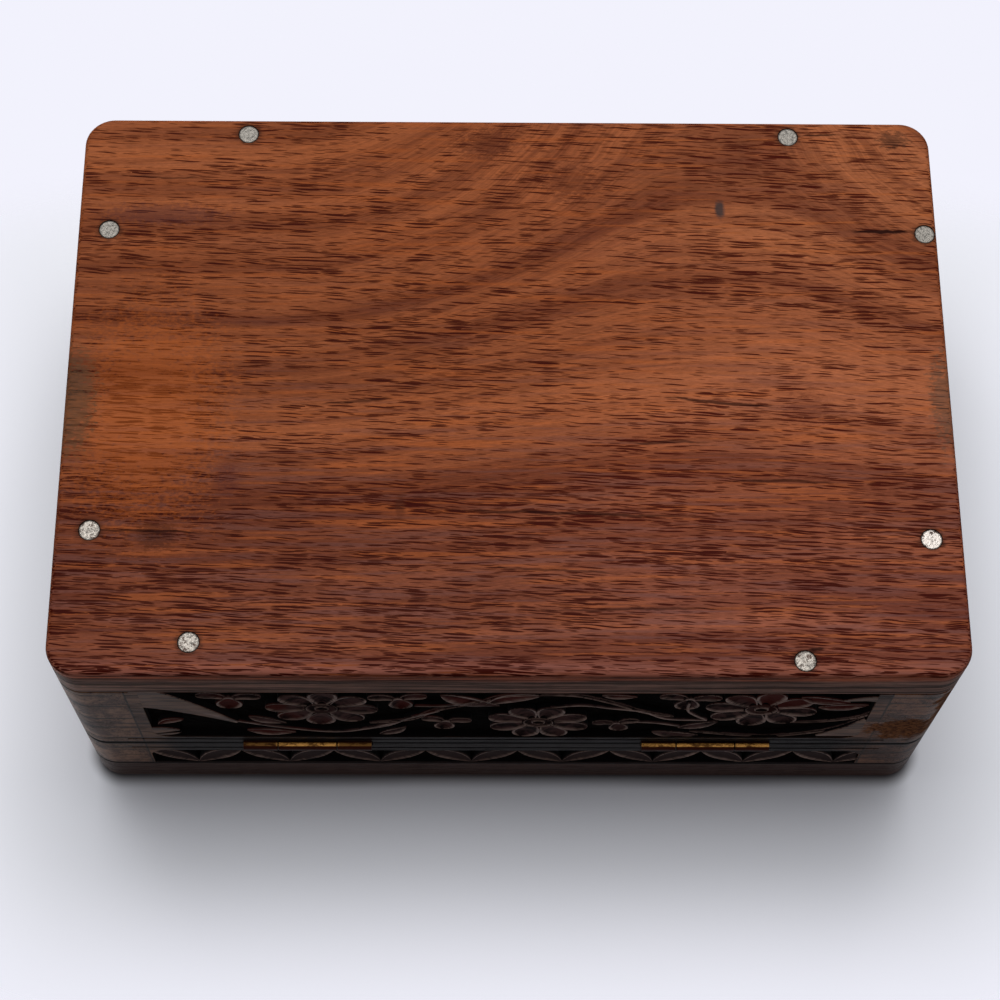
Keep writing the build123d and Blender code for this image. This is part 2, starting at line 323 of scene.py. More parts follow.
band = calc("MULTIPLY_ADD", band, given["Bands"], given["Own Rings"])
band = calc("MULTIPLY", band, 1.0, clamp=True)
tone = blend_colour(band, given["Light"], given["Dark"])
fibre = noise(grain, (0.10, 3.4, 3.4), 3.0, 0.65)
fibre_tone = fade(fibre, 0.25, 0.75, 0.80, 1.20)
tone = brightened(tone, fibre_tone)
wander = minus(noise(given["Place"], (0.10, 0.4, 0.4), 1.0), 0.5)
pore_place = vector_calc("ADD", given["Place"], point(y=wander))
elsewhere = vector_calc("ADD", grain, (31.0, 7.0, 3.0))
crowding = noise(elsewhere, (0.03, 0.20, 0.20), 2.0)
crowding = plus(fade(crowding, 0.35, 0.65, -0.12, 0.03), given["Crowding"])
crowding = calc("MULTIPLY_ADD", band, 0.05, crowding)
pores = None
# for each kind of pore: cells a millimetre, smallest and largest, and how dark
for cells, smallest, largest, darkness in (
    ((0.14, 2.9, 2.2), 0.08, 0.45, 1.0),
    ((0.27, 4.4, 3.2), 0.02, 0.43, 0.85),
    ((0.060, 2.6, 1.4), -0.26, 0.30, 1.0),
):
    mask = use_group(strokes, {
        "Place": pore_place, "Cells": cells,
        "Smallest": plus(crowding, smallest), "Largest": plus(crowding, largest),
    })["Mask"]
    mask = times(mask, darkness)
    pores = mask if pores is None else larger(pores, mask)
pores = calc("MULTIPLY", pores, given["Pores"], clamp=True)
tone = blend_colour(times(pores, 0.96), tone, given["Pore Colour"])
height = minus(times(fibre, 0.25), pores)
for name, value in (("Color", tone), ("Pores", pores), ("Height", height)):
    wood_grain.links.new(value, put.inputs[name])


def wood_tones(light, dark, pore, pores):
    """The colours of one kind of wood, and how strongly its pores show, as inputs of the group."""
    return {"Light": colour(*light), "Dark": colour(*dark), "Pore Colour": colour(*pore), "Pores": pores}


bare_wood = wood_tones((142, 88, 56), (108, 60, 36), (62, 26, 14), 0.7)
wall_colours = (110, 78, 58), (64, 42, 31)
finish_pore = (12, 6, 5)
print("wood grain:", len(wood_grain.nodes), "nodes")

# %% [markdown]
# ## Marks
# An old base has stains, bruises and dark rings round its nails. Each is a soft ellipse with a
# ragged edge. One group makes such a mark from its middle and its reach, so that the base material
# can list its marks in a table.

# %% Shader group: a soft mark
soft_mark, given, put = new_group(
    "soft_mark",
    [
        ("Place", "Vector", None),
        ("Middle", "Vector", (0.0, 0.0, 0.0)),
        ("Reach", "Vector", (2.0, 2.0, 50.0)),
        ("Wobble", "Float", 0.0),
    ],
    [("Mask", "Float")],
)
away = vector_calc("SUBTRACT", given["Place"], given["Middle"])
away = vector_calc("DIVIDE", away, given["Reach"])
reach = plus(vector_calc("LENGTH", away), given["Wobble"])
soft_mark.links.new(fade(reach, 0.45, 1.05, 1.0, 0.0), put.inputs["Mask"])
print("soft mark:", len(soft_mark.nodes), "nodes")

# %% [markdown]
# ## The base board
# The base is one wide flat-sawn board. Its rings run level at the back, and past the middle they
# sweep up to the front edge, as where a trunk widens towards a root, and arch over on the right.
# That sweep is a bend of the rings alone: it is strongest at the front edge and dies away towards
# the back. How dark each ring is stands in a short list, from the front edge to the back.

# %% Base board: rings and grain
base_wood, tree, shader, place = new_material("base_wood", roughness=0.55, specular=0.03)
along, across, up = apart(place)
lean = times(along, 0.045)
sweep = times(fade(along, -40.0, 33.0, 0.0, 37.5), fade(along, 45.0, 85.0, 1.0, 0.5))
near_front = calc("POWER", 2.718, calc("DIVIDE", plus(across, 53.0), -42.5))
bend = times(sweep, near_front)
wave = minus(noise(place, (0.03, 0.05, 0.0), 2.0), 0.5)
ring_level = plus(plus(across, bend), times(wave, 5.0))
# rings from the front edge to the back: where, in mm, and how dark
rings = [
    (-54, 0.50), (-48, 0.35), (-45, 0.10), (-38, 0.35), (-34, 0.05), (-31.5, 0.70), (-29.5, 0.85),
    (-27.5, 0.05), (-24.5, 0.10), (-22.5, 0.60), (-20, 0.15), (-16, 0.30), (-12.5, 0.85), (-9.5, 0.30),
    (-7, 0.10), (-4.5, 0.45), (-2.5, 0.75), (0, 0.45), (5, 0.30), (11, 0.15), (17, 0.45), (21.5, 0.70),
    (25.5, 0.95), (29, 0.50), (36, 0.60), (43, 0.55), (45, 0.90), (47.5, 0.25), (50.5, 0.90), (54, 0.80),
]
ring_span = 54.0
ramp = add_node(tree, "ShaderNodeValToRGB", {0: fade(ring_level, -ring_span, ring_span)})
ramp.inputs[0].links[0].from_node.interpolation_type = "LINEAR"
stops = ramp.color_ramp.elements
while len(stops) < len(rings):
    stops.new(0.5)
for stop, (where, dark) in zip(stops, rings):
    stop.position = (where + ring_span) / (2 * ring_span)
    stop.color = (dark, dark, dark, 1)
own_rings = times(ramp.outputs[0], 0.70)
straight = minus(across, lean)
base_place = point(along, straight, plus(up, 40.0))
base_grain = use_group(wood_grain, {
    "Place": base_place,
    "Bend": plus(bend, lean),
    "Own Rings": own_rings,
    "Bands": 0.45,
    "Crowding": fade(across, 8.0, 34.0, 0.0, 0.06),
})
print("base board:", len(rings), "rings")

# %% [markdown]
# ## Streaks and shades
# The back half of the board is redder, and the right end lighter. Between the pores run grey streaks,
# most of them towards the back, and orange ones. Wide soft places are lighter or darker: each row
# has the middle, the reach and the tone that multiplies. The last row is a painted sheen, bluer
# along the back edge.

# %% Base board: streaks and shades
base_colour = base_grain["Color"]
red_half = times(fade(across, -5.0, 40.0), 0.85)
base_colour = tinted(red_half, base_colour, (0.76, 0.73, 0.96))
base_colour = tinted(fade(along, 55.0, -30.0), base_colour, (0.93, 0.90, 0.80))
between = fade(base_grain["Pores"], 0.1, 0.6, 1.0, 0.0)
veins = noise(place, (0.030, 0.75, 0.75), 3.0, 0.65)
greyer = times(fade(veins, 0.50, 0.62), fade(across, -30.0, 35.0, 0.10, 0.48))
base_colour = painted(base_colour, times(greyer, between), (94, 60, 55))
more_orange = times(fade(veins, 0.36, 0.46, 0.40, 0.0), between)
base_colour = painted(base_colour, more_orange, (158, 82, 38))
finest = fade(noise(place, (0.7, 4.6, 4.6), 2.0, 0.7), 0.30, 0.70, 0.87, 1.13)
base_colour = brightened(base_colour, finest)
wide_tones_and_sheen = [
    (54.0, 22.0, 62.0, 40.0, (1.17, 1.19, 1.22)),
    (56.0, -42.0, 44.0, 26.0, (1.09, 1.14, 1.12)),
    (-4.0, -40.0, 48.0, 24.0, (0.90, 0.86, 0.82)),
    (-50.0, -12.0, 52.0, 26.0, (0.91, 0.89, 0.88)),
    (4.0, -10.0, 42.0, 20.0, (0.95, 0.92, 0.88)),
    (2.0, 18.0, 46.0, 20.0, (1.07, 1.05, 1.00)),
    # a painted sheen: lighter and bluer along the back edge
    (0.0, 48.0, 110.0, 22.0, (1.01, 1.06, 1.14)),
]
for x, y, reach_x, reach_y, tone in wide_tones_and_sheen:
    reach = (reach_x, reach_y, 90.0)
    shade = use_group(soft_mark, {"Place": place, "Middle": (x, y, 0.0), "Reach": reach})
    base_colour = tinted(shade["Mask"], base_colour, tone)
print("base board:", len(wide_tones_and_sheen), "wide shades")

# %% [markdown]
# ## Stains, bruises and rings round the nails
# Each row has the middle and the reach along x and y, how strong the mark is, whether its edge is
# ragged, and its colour. The nails add a dark ring each.

# %% Base board: marks
wobble = minus(noise(place, (0.9, 1.6, 1.6), 3.0, 0.65), 0.5)
slight, much = times(wobble, 0.9), times(wobble, 2.6)
base_marks = [
    (-62.0, 6.0, 16.0, 24.0, 0.30, True, (168, 84, 30)),
    (-58.9, 28.3, 4.2, 3.2, 0.55, True, (48, 22, 16)),
    (37.6, -34.5, 1.1, 2.2, 0.85, False, (44, 44, 46)),
    (69.5, -49.0, 3.2, 2.2, 0.60, True, (58, 36, 26)),
    (-18.4, 23.1, 1.1, 2.4, 0.50, False, (70, 32, 18)),
    (-74.5, 4.0, 4.5, 12.0, 0.60, True, (66, 56, 42)),
    (74.8, 2.9, 3.0, 10.0, 0.50, True, (70, 62, 52)),
    (51.0, 4.5, 4.5, 3.5, 0.35, True, (76, 28, 18)),
    (11.0, -40.0, 6.0, 4.0, 0.45, True, (70, 28, 16)),
    (-4.0, -48.0, 6.5, 3.5, 0.50, True, (70, 28, 16)),
    (-47.5, 18.0, 2.6, 4.0, 0.35, True, (62, 26, 30)),
    (-61.0, -33.0, 13.0, 2.6, 0.35, True, (62, 34, 40)),
]
nails = [
    (-46.7, -49.55), (50.5, -49.55), (-70.5, -29.85), (73.8, -29.65),
    (-70.1, 27.45), (70.6, 28.65), (-52.6, 47.15), (48.3, 50.15),
]
base_marks += [(x, y, 2.7, 2.6, 0.8, False, (34, 20, 14)) for x, y in nails]
for x, y, reach_x, reach_y, strength, ragged, tint in base_marks:
    mark = use_group(soft_mark, {
        "Place": place,
        "Middle": (x, y, 0.0),
        "Reach": (reach_x, reach_y, 50.0),
        "Wobble": much if ragged else slight,
    })
    base_colour = painted(base_colour, times(mark["Mask"], strength), tint)
print("base board:", len(base_marks), "marks")

# %% [markdown]
# ## Cracks
# Long dark lines run nearly along the grain. Each row has the two ends as x, y, x, y, then half the
# width and the strength. A slow noise makes every line stray a little.

# %% Base board: cracks
long_lines = [
    (59.2, -30.2, 73.0, -29.9, 0.30, 0.95), (-75.8, 27.2, -47.0, 27.9, 0.16, 0.75),
    (24.2, 2.2, 48.0, 4.8, 0.26, 0.75), (18.0, 11.2, 35.5, 10.8, 0.22, 0.65),
    (35.5, 17.9, 56.8, 18.5, 0.24, 0.70), (-15.8, 23.5, 35.5, 24.8, 0.24, 0.70),
    (-33.2, 4.1, -19.5, 2.9, 0.22, 0.65), (52.2, -49.6, 61.0, -50.3, 0.18, 0.80),
    (-72.0, -41.0, -50.0, -40.0, 0.16, 0.55), (-8.0, 33.5, 22.0, 35.2, 0.18, 0.55),
    (2.0, 41.5, 40.0, 41.0, 0.18, 0.60), (48.6, 48.2, 52.0, 47.8, 0.30, 0.85),
]
stray = times(minus(noise(place, (0.12, 0.12, 0.0), 3.0, 0.6), 0.5), 1.6)
for x1, y1, x2, y2, half_width, strength in long_lines:
    slope = (y2 - y1) / (x2 - x1)
    middle = ((x1 + x2) / 2, (y1 + y2) / 2, 0.0)
    fall = calc("MULTIPLY_ADD", along, -slope, middle[0] * slope)
    off_line = point(y=plus(fall, stray))
    mark = use_group(soft_mark, {
        "Place": vector_calc("ADD", place, off_line),
        "Middle": middle,
        "Reach": ((x2 - x1) / 2, half_width * 1.6, 50.0),
        "Wobble": times(wobble, 0.5),
    })
    crack = times(mark["Mask"], strength)
    base_colour = painted(base_colour, crack, (30, 5, 3))
print("base board:", len(long_lines), "cracks")

# %% [markdown]
# ## Edge and inside of the base
# The back arris is pinkish, partly rubbed wear and partly a painted highlight on its rounded
# edge. The edge under it is grey, with layers that open a little, and orange near the arris. The
# inside of the board, within the walls, was never finished.

# %% Base board: edge and inside
streaks = fade(noise(place, (0.045, 1.7, 1.7), 3.0, 0.7), 0.47, 0.58, 1.0, 0.0)
streaks = times(streaks, fade(base_grain["Pores"], 0.2, 0.6, 1.0, 0.0))
# partly rubbed wear and partly a painted highlight along the rounded back arris
arris_wear_and_sheen = times(fade(across, 48.5, 52.2, 0.0, 0.7), streaks)
base_colour = painted(base_colour, arris_wear_and_sheen, (138, 84, 70))
edge_level = fade(up, 0.5, 1.6)
layers = fade(noise(place, (0.025, 0.025, 1.2), 4.0, 0.8), 0.42, 0.57, 1.45, 0.30)
how_low = plus(up, times(noise(place, (0.05, 0.05, 0.9), 3.0, 0.7), 3.0))
low_tone = blend_colour(fade(how_low, 3.0, 5.5), colour(150, 78, 50), colour(112, 90, 80))
edge_tone = brightened(blend_colour(0.7, base_colour, low_tone), layers)
base_colour = blend_colour(edge_level, base_colour, edge_tone)
faded_end = times(edge_level, fade(along, -73.0, -50.0, 1.0, 0.0))
base_colour = tinted(faded_end, base_colour, (1.17, 1.24, 1.25))
bare_floor = use_group(wood_grain, {"Place": place, **bare_wood})
on_floor = fade(up, base_top / MM - 0.3, base_top / MM - 0.1)
base_colour = blend_colour(on_floor, base_colour, bare_floor["Color"])
tree.links.new(base_colour, shader.inputs["Base Color"])
set_bump(shader, base_grain["Height"], 0.6, 0.12)
print("base wood:", len(tree.nodes), "nodes")

# %% [markdown]
# ## The dark sides
# The walls and the lid are the same wood under an old dark finish. Inside, the wood was never
# finished, so it is paler. One material does both: how far a point lies in from the outside of the
# box says whether it is on the finished face, down in the stained carving, or inside. The outline
# has rounded corners, so that distance is measured from it as drawn. The end walls show their end
# grain at the back and front, with fine level cracks, past a dark joint line. One back corner is
# rubbed down to pitted brown wood.

# %% Helpers for the dark sides
def depth_in_side(along, across):
    """How far in from the outline of the box, in millimetres."""
    # past the start of the corner's round along x, and along y
    past_x = minus(distance(along), half_length / MM - outline_corner)
    past_y = minus(distance(across), half_depth / MM - outline_corner)
    outside = point(larger(past_x, 0.0), larger(past_y, 0.0))
    within = smaller(larger(past_x, past_y), 0.0)
    past = plus(vector_calc("LENGTH", outside), within)
    return minus(outline_corner, past)


def rub_the_corner(tone, place):
    """Pitted brown wood at the right back corner. Gives the tone, where it is, and its pits."""
    rub_edge = minus(noise(place, (0.35, 0.35, 0.35), 3.0, 0.7), 0.5)
    rubbed = None
    places = [((69.5, 53.0, 29.0), (9.0, 9.0, 7.5)), ((76.0, 52.0, 20.0), (4.6, 9.0, 20.0))]
    for middle, reach in places:
        wobble = times(rub_edge, 1.6)
        inputs = {"Place": place, "Middle": middle, "Reach": reach, "Wobble": wobble}
        patch = use_group(soft_mark, inputs)["Mask"]
        rubbed = patch if rubbed is None else larger(rubbed, patch)
    pits = noise(place, (1.1, 1.1, 1.7), 3.0, 0.7)
    out_of_pits = fade(pits, 0.40, 0.60)
    rubbed_tone = blend_colour(out_of_pits, colour(60, 35, 20), colour(130, 88, 54))
    tone = blend_colour(times(rubbed, 0.8), tone, rubbed_tone)
    return tone, rubbed, pits


def draw_beads(tone, up, on_face, from_corner):
    """Dark beads round the parting of the lid, the grooves between them, and painted shade at the joints."""
    beads = times(fade(up, 35.0, 35.5), fade(up, 42.3, 42.9, 0.95, 0.0))
    beads = times(times(beads, from_corner), on_face)
    tone = painted(tone, beads, (11, 7, 7))
    # each groove: how high it lies, its half width, how dark, and whether it passes the corners; the
    # lid's parting and the seam under its board are dark joints, painted darker as shade in their gaps
    for level, half_width, dark_by, all_round in (
        (34.9, 0.30, 0.9, False),
        (35.75, 0.35, 0.9, False),
        (rim_level / MM, 0.65, 0.97, True),
        (40.75, 0.35, 0.9, False),
        (42.5, 0.25, 0.9, False),
        (board_seam / MM, 0.40, 0.9, True),
    ):
        off_level = distance(minus(up, level))
        groove = fade(off_level, half_width, half_width + 0.35, dark_by, 0.0)
        groove = times(groove, on_face if all_round else times(on_face, from_corner))
        tone = painted(tone, groove, black_stain_and_gap_shade)
    return tone


# nearly black: the stain of the carved ground, and painted shade in the gaps of the lid's joints
black_stain_and_gap_shade = (7, 4, 4)
print("helpers for the dark sides")

# %% [markdown]
# ## One material for walls, rails and lid
# The finish is redder towards the right end, and more faded at the left one. The beads fade towards
# the corners. The edge of the lid's board is painted dark brown as shade where it meets the table,
# and less so at its top arris.

# %% Material: dark sides
def side_material(name, light, dark, grain_along="X"):
    """Dark outside, stained where it is sunk, and bare inside."""
    roughness = 0.45
    made, tree, shader, place = new_material(name, roughness=roughness, specular=0.09)
    along, across, up = apart(place)
    is_end = grain_along == "Y"
    turned = point(across, up, along) if is_end else point(along, up, across)
    tones = wood_tones(light, dark, finish_pore, 0.95)
    grain = use_group(wood_grain, {"Place": turned, **tones})
    from_middle_x = distance(along)
    in_side = depth_in_side(along, across)
    depth = smaller(in_side, minus(lid_top / MM, up))
    off_rim = distance(minus(up, rim_level / MM))
    sunk = times(fade(depth, 0.06, 0.32), fade(off_rim, 2.0, 2.4))
    below_board = fade(up, board_seam / MM, board_seam / MM + 0.2, 1.0, 0.0)
    sunk = times(sunk, larger(below_board, fade(in_side, 2.0, 2.4)))
    on_face = fade(depth, 0.4, 0.9, 1.0, 0.0)
    inside = fade(depth, 7.8, 9.0)
    cracks = noise(place, (0.045, 0.045, 1.25), 4.0, 0.65)
    cracks = fade(cracks, 0.54, 0.61, 0.0, 0.9 if is_end else 0.7)
    below_top = fade(up, lid_top / MM - 0.7, lid_top / MM - 0.2, 1.0, 0.0)
    upright = times(fade(off_rim, 0.2, 0.5), below_top)
    cracks = times(cracks, upright)
    off_joint = distance(minus(from_middle_x, joint_line / MM))
    joint = times(fade(off_joint, 0.05, 0.28, 0.9, 0.0), below_board)
    tone = blend_colour(larger(cracks, joint), grain["Color"], colour(12, 7, 6))
    tone, rubbed, pits = rub_the_corner(tone, place)
    tone = tinted(fade(along, 20.0, 74.0, 0.0, 0.9), tone, (0.95, 0.76, 0.62))
    tone = tinted(fade(along, -73.0, -58.0, 0.9, 0.0), tone, (1.22, 1.26, 1.32))
    # painted shade: the edge of the lid's board is darkened where it meets the table, less at its top
    board_edge_painted_shade = times(fade(up, 50.2, 51.0), fade(up, 58.2, 59.9, 0.9, 0.25))
    tone = painted(tone, board_edge_painted_shade, (38, 18, 11))
    from_corner = fade(from_middle_x, 57.0, 64.0, 1.0, 0.3)
    if is_end:
        from_corner = fade(distance(across), 34.0, 41.0, 1.0, 0.3)
    tone = draw_beads(tone, up, on_face, from_corner)
    tone = painted(tone, sunk, black_stain_and_gap_shade)
    bare = use_group(wood_grain, {"Place": turned, **bare_wood})
    tone = blend_colour(inside, tone, bare["Color"])
    tree.links.new(tone, shader.inputs["Base Color"])
    rough = plus(fade(sunk, 0.0, 1.0, roughness, 0.85), times(grain["Pores"], 0.15))
    rough = larger(rough, rubbed)
    tree.links.new(rough, shader.inputs["Roughness"])
    hollows = minus(grain["Height"], times(cracks, 1.5))
    hollows = minus(hollows, times(rubbed, times(pits, 3.0)))
    set_bump(shader, hollows, 0.5, 0.1)
    return made


wall_wood = side_material("wall_wood", *wall_colours)
end_wood = side_material("end_wood", (116, 82, 60), (68, 44, 32), grain_along="Y")
lid_wood = side_material("lid_wood", (116, 70, 46), (68, 38, 24))
for node, wood in (
    ("base_board", base_wood),
    ("front_wall", wall_wood), ("back_wall", wall_wood),
    ("left_wall", end_wood), ("right_wall", end_wood),
    ("lid_board", lid_wood),
    ("lid_front_rail", wall_wood), ("lid_back_rail", wall_wood),
    ("lid_left_rail", end_wood), ("lid_right_rail", end_wood),
):
    dress(node, wood)
print("wood on 10 boards")

# %% [markdown]
# ## Brass
# The knuckles are old brass gone brown, partly tarnish and partly a painted dark reflection, with
# two dull yellow painted highlights along them. The leaves lie between the rims, out of reach, and
# stay brass.

# %% Material: brass
def brass_material(name, highlight_from, highlight_to):
    """Brown brass with two painted highlights along the knuckles, brightest between two places."""
    made, tree, shader, place = new_material(name, roughness=0.35)
    shader.inputs["Metallic"].default_value = 1.0
    along = apart(place)[0]
    from_middle = distance(minus(along, (highlight_from + highlight_to) / 2))
    reach = (highlight_to - highlight_from) / 2
    # the two bright lines along the knuckles are painted highlights
    rubbed = fade(from_middle, reach, reach + 0.6, 1.0, 0.25)
    patches = noise(place, (0.5, 1.6, 1.6), 4.0, 0.7)
    from_pin = vector_calc("SUBTRACT", place, pin_place)
    from_pin = vector_calc("MULTIPLY", from_pin, (0.0, 1.0, 1.0))
    lower_line = vector_calc("DOT_PRODUCT", from_pin, (0.0, 0.33, -0.94))
    upper_line = vector_calc("DOT_PRODUCT", from_pin, (0.0, 0.64, 0.77))
    toward_highlight = larger(lower_line, upper_line)
    rubbed = times(rubbed, fade(toward_highlight, 1.075, 1.14))
    rubbed = times(rubbed, fade(patches, 0.40, 0.56, 0.15, 1.0))
    # brown: tarnish, and a painted dark reflection
    tone = blend_colour(patches, colour(58, 24, 14), colour(28, 9, 8))
    # the leaves, past the knuckles, are let in and were never handled, so they stay brass
    on_leaf = fade(vector_calc("LENGTH", from_pin), 1.3, 1.6)
    leaf_tone = blend_colour(fade(patches, 0.35, 0.65), colour(150, 112, 62), colour(96, 64, 36))
    tone = blend_colour(on_leaf, tone, leaf_tone)
    tree.links.new(blend_colour(rubbed, tone, colour(222, 162, 84)), shader.inputs["Base Color"])
    tree.links.new(fade(rubbed, 0.0, 1.0, 0.5, 0.24), shader.inputs["Roughness"])
    set_bump(shader, noise(place, (2.2, 5.0, 5.0), 2.0), 0.30, 0.08)
    return made


pin_low, pin_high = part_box("left_hinge_pin")
pin_place = (pin_low + pin_high) / 2 / MM
left_middle, right_middle = (hinge_middles[side] / MM for side in ("left", "right"))
brass = {
    "left": brass_material("left_brass", left_middle - 5.2, left_middle + 5.2),
    "right": brass_material("right_brass", right_middle - 13.0, right_middle + 13.0),
}
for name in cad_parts:
    if "hinge" in name:
        dress(name, brass[name.split("_")[0]])
print("brass on the hinges")

# %% [markdown]
# ## Steel
# The nails are plain steel wire nails, struck by a hammer, so their heads are mottled with small
# bright flats and specks of rust, and dark round the rim. The ones at the back have more rust, and
# the ones at the right end are much paler.

# %% Material: steel
steel, tree, shader, place = new_material("nail_steel", roughness=0.4)
shader.inputs["Metallic"].default_value = 0.85
flats = noise(place, (1.7, 1.7, 1.7), 3.0, 0.75)
rust = fade(noise(place, (1.0, 1.0, 1.0), 4.0, 0.75), 0.53, 0.60)
tone = blend_colour(fade(flats, 0.36, 0.62), colour(140, 134, 127), colour(206, 198, 188))
nail_y = vector_calc("DOT_PRODUCT", place, (0.0, 1.0, 0.0))
rust = times(rust, fade(nail_y, -30.0, 30.0, 0.12, 0.85))
tone = painted(tone, rust, (72, 52, 44))
tone = painted(tone, fade(nail_y, -20.0, 20.0, 0.65, 0.0), (126, 123, 117))
# the heads at the right end are made much paler
paler_right_nails = fade(vector_calc("DOT_PRODUCT", place, (1.0, 0.35, 0.0)), 68.0, 80.0)
paler_right_nails = times(paler_right_nails, fade(rust, 0.2, 0.6, 0.85, 0.0))
tone = painted(tone, paler_right_nails, (235, 226, 218))
flat_place = vector_calc("MULTIPLY", place, (1.0, 1.0, 0.0))
nearest = None
for x, y in nails:
    off_nail = vector_calc("DISTANCE", flat_place, (x, y, 0.0))
    nearest = off_nail if nearest is None else smaller(nearest, off_nail)
tone = painted(tone, fade(nearest, 1.48, 1.72, 0.0, 0.9), (34, 26, 22))
tree.links.new(tone, shader.inputs["Base Color"])
tree.links.new(fade(flats, 0.3, 0.7, 0.32, 0.6), shader.inputs["Roughness"])
set_bump(shader, flats, 0.8, 0.25)
dress("base_nails", steel)
print("steel on the nails")

# %% [markdown]
# ## Sections and widths
# The sides are carved in relief: the carver sank the ground and left flowers, leaves and stems
# standing, then scooped each petal so that its rim stands up. A petal, a leaf and a stem are all
# one form, a blade: a strip that follows a line, with a width that changes along it and a section
# across it. A width is a function of the share of the way along, from 0 to 1.

# %% Sections and widths of a blade
def both_sides(half):
    """The whole section of a blade from the half that ends at its middle."""
    return half + [(-out, high, worn) for out, high, worn in reversed(half[:-1])]


random.seed(7)
# across a blade, from one side to its middle: how far out, how high, and how rubbed, from -1 for a
# stained side to 1 for a pale rim
scooped = both_sides([
    (-1.0, -0.08, -1.0), (-0.97, 0.62, -1.0), (-0.91, 0.98, 0.9), (-0.80, 0.95, 0.9),
    (-0.62, 0.66, 0.1), (-0.32, 0.42, 0.0), (0.0, 0.34, 0.0),
])
creased = both_sides([
    (-1.0, -0.08, -1.0), (-0.96, 0.60, -1.0), (-0.88, 0.94, 0.9), (-0.72, 0.92, 0.7),
    (-0.42, 0.72, 0.2), (-0.10, 0.62, 0.0), (0.0, 0.46, -0.6),
])
rounded = both_sides([
    (-1.0, -0.08, -1.0), (-0.92, 0.55, -0.8), (-0.70, 0.88, 0.3), (-0.35, 0.98, 0.8), (0.0, 1.0, 0.9),
])
# a lobe is wood that was never cut: flat on top, and 2 stands for the plain finish
lobe = both_sides([(-1.0, -0.08, -1.0), (-0.97, 0.80, -1.0), (-0.93, 1.0, 2.0), (0.0, 1.0, 2.0)])


def petal_width(widest):
    """Narrow at the foot, and round at the tip, which starts where the rest is widest."""
    def width(s):
        opening = 0.34 + 0.66 * math.sin(min(s / 0.62, 1) * math.pi / 2)
        return widest * opening * math.sqrt(max(0, 1 - max(0, (s - 0.58) / 0.42) ** 2))

    return width


def leaf_width(widest, fullest=0.5):
    """Pointed at both ends, and widest where it is fullest."""
    power = math.log(0.5) / math.log(fullest)
    return lambda s: widest * math.sin(math.pi * min(max(s, 0), 1) ** power) ** 0.9


def stem_width(start, end):
    """Changes evenly from start to end, and closes at both ends."""
    return lambda s: (start + (end - start) * s) * math.sqrt(max(0, 1 - abs(2 * s - 1) ** 12))


print("blade sections:", len(scooped), len(creased), len(rounded), len(lobe), "rows")

# %% [markdown]
# ## One carved blade
# Each blade starts as a plain grid, and its points are moved onto it. Its number called worn says
# how rubbed each point is. Blades that belong together are joined and closed underneath.

# %% Helper: one blade
def line_point(line, t):
    """A point on the smooth line through the given points, at t from 0 to 1."""
    spans = len(line) - 1
    i = min(int(t * spans), spans - 1)
    u = t * spans - i
    p1, p2 = Vector(line[i]), Vector(line[i + 1])
    p0 = Vector(line[i - 1]) if i else p1 * 2 - p2
    p3 = Vector(line[i + 2]) if i + 2 <= spans else p2 * 2 - p1
    cubed = (p0 * -1 + p1 * 3 - p2 * 3 + p3) * u ** 3
    squared = (p0 * 2 - p1 * 5 + p2 * 4 - p3) * u ** 2
    return (cubed + squared + (p2 - p0) * u + p1 * 2) / 2


def blade(line, width, section, steps=12, height=1.28, loop=False):
    """A strip that follows a line on the carved ground. All is in millimetres on the panel."""
    rows = len(section) - 1
    bpy.ops.mesh.primitive_grid_add(x_subdivisions=steps, y_subdivisions=rows, size=1)
    made = bpy.context.object
    worn = made.data.attributes.new("worn", "FLOAT", "POINT")
    widest = max(width(i / 40) for i in range(41))
    for vertex in made.data.vertices:
        t = vertex.co.x + 0.5
        out, high, rubbed = section[round((vertex.co.y + 0.5) * rows)]
        s = t if loop else (1 - math.cos(math.pi * t)) / 2
        here = line_point(line, s)
        ahead = line_point(line, min(s + 0.01, 1)) - line_point(line, max(s - 0.01, 0))
        side = Vector((-ahead.y, ahead.x)).normalized()
        spread = width(s)
        full = min(1, spread / (0.55 * widest)) if widest else 1
        if abs(out) < 0.8:
            # within the rims, the scoop and its rubbing get slighter where the blade is narrow
            high = 1 - (1 - high) * full if high > 0 else high
            rubbed *= 0.5 + 0.5 * full
        vertex.co = (*(here + side * out * spread), high * height)
        worn.data[vertex.index].value = rubbed
    return made


def joined(parts):
    """One object from several, left selected."""
    bpy.ops.object.select_all(action="DESELECT")
    for part in parts:
        part.select_set(True)
    bpy.context.view_layer.objects.active = parts[0]
    if len(parts) > 1:
        bpy.ops.object.join()
    return bpy.context.object


def gather(name, parts):
    """Joins blades into one closed mesh."""
    whole = joined(parts)
    whole.name = name
    bpy.ops.object.mode_set(mode="EDIT")
    bpy.ops.mesh.select_all(action="SELECT")
    bpy.ops.mesh.remove_doubles(threshold=0.0005)
    bpy.ops.mesh.fill_holes(sides=0)
    bpy.ops.mesh.select_all(action="SELECT")
    bpy.ops.mesh.normals_make_consistent(inside=False)
    bpy.ops.object.mode_set(mode="OBJECT")
    return whole


def copy_of(motif, turn=0.0, size=1.0, place=(0, 0), squat=1.0):
    """A copy with its own mesh, turned and put at a place on the panel."""
    made = motif.copy()
    made.data = motif.data.copy()
    bpy.context.scene.collection.objects.link(made)
    turned = Matrix.Rotation(math.radians(turn), 4, "Z")
    sized = Matrix.Diagonal((size, size * squat, 1, 1))
    made.matrix_world = Matrix.Translation((*place, 0)) @ sized @ turned
    return made


print("blade helpers")

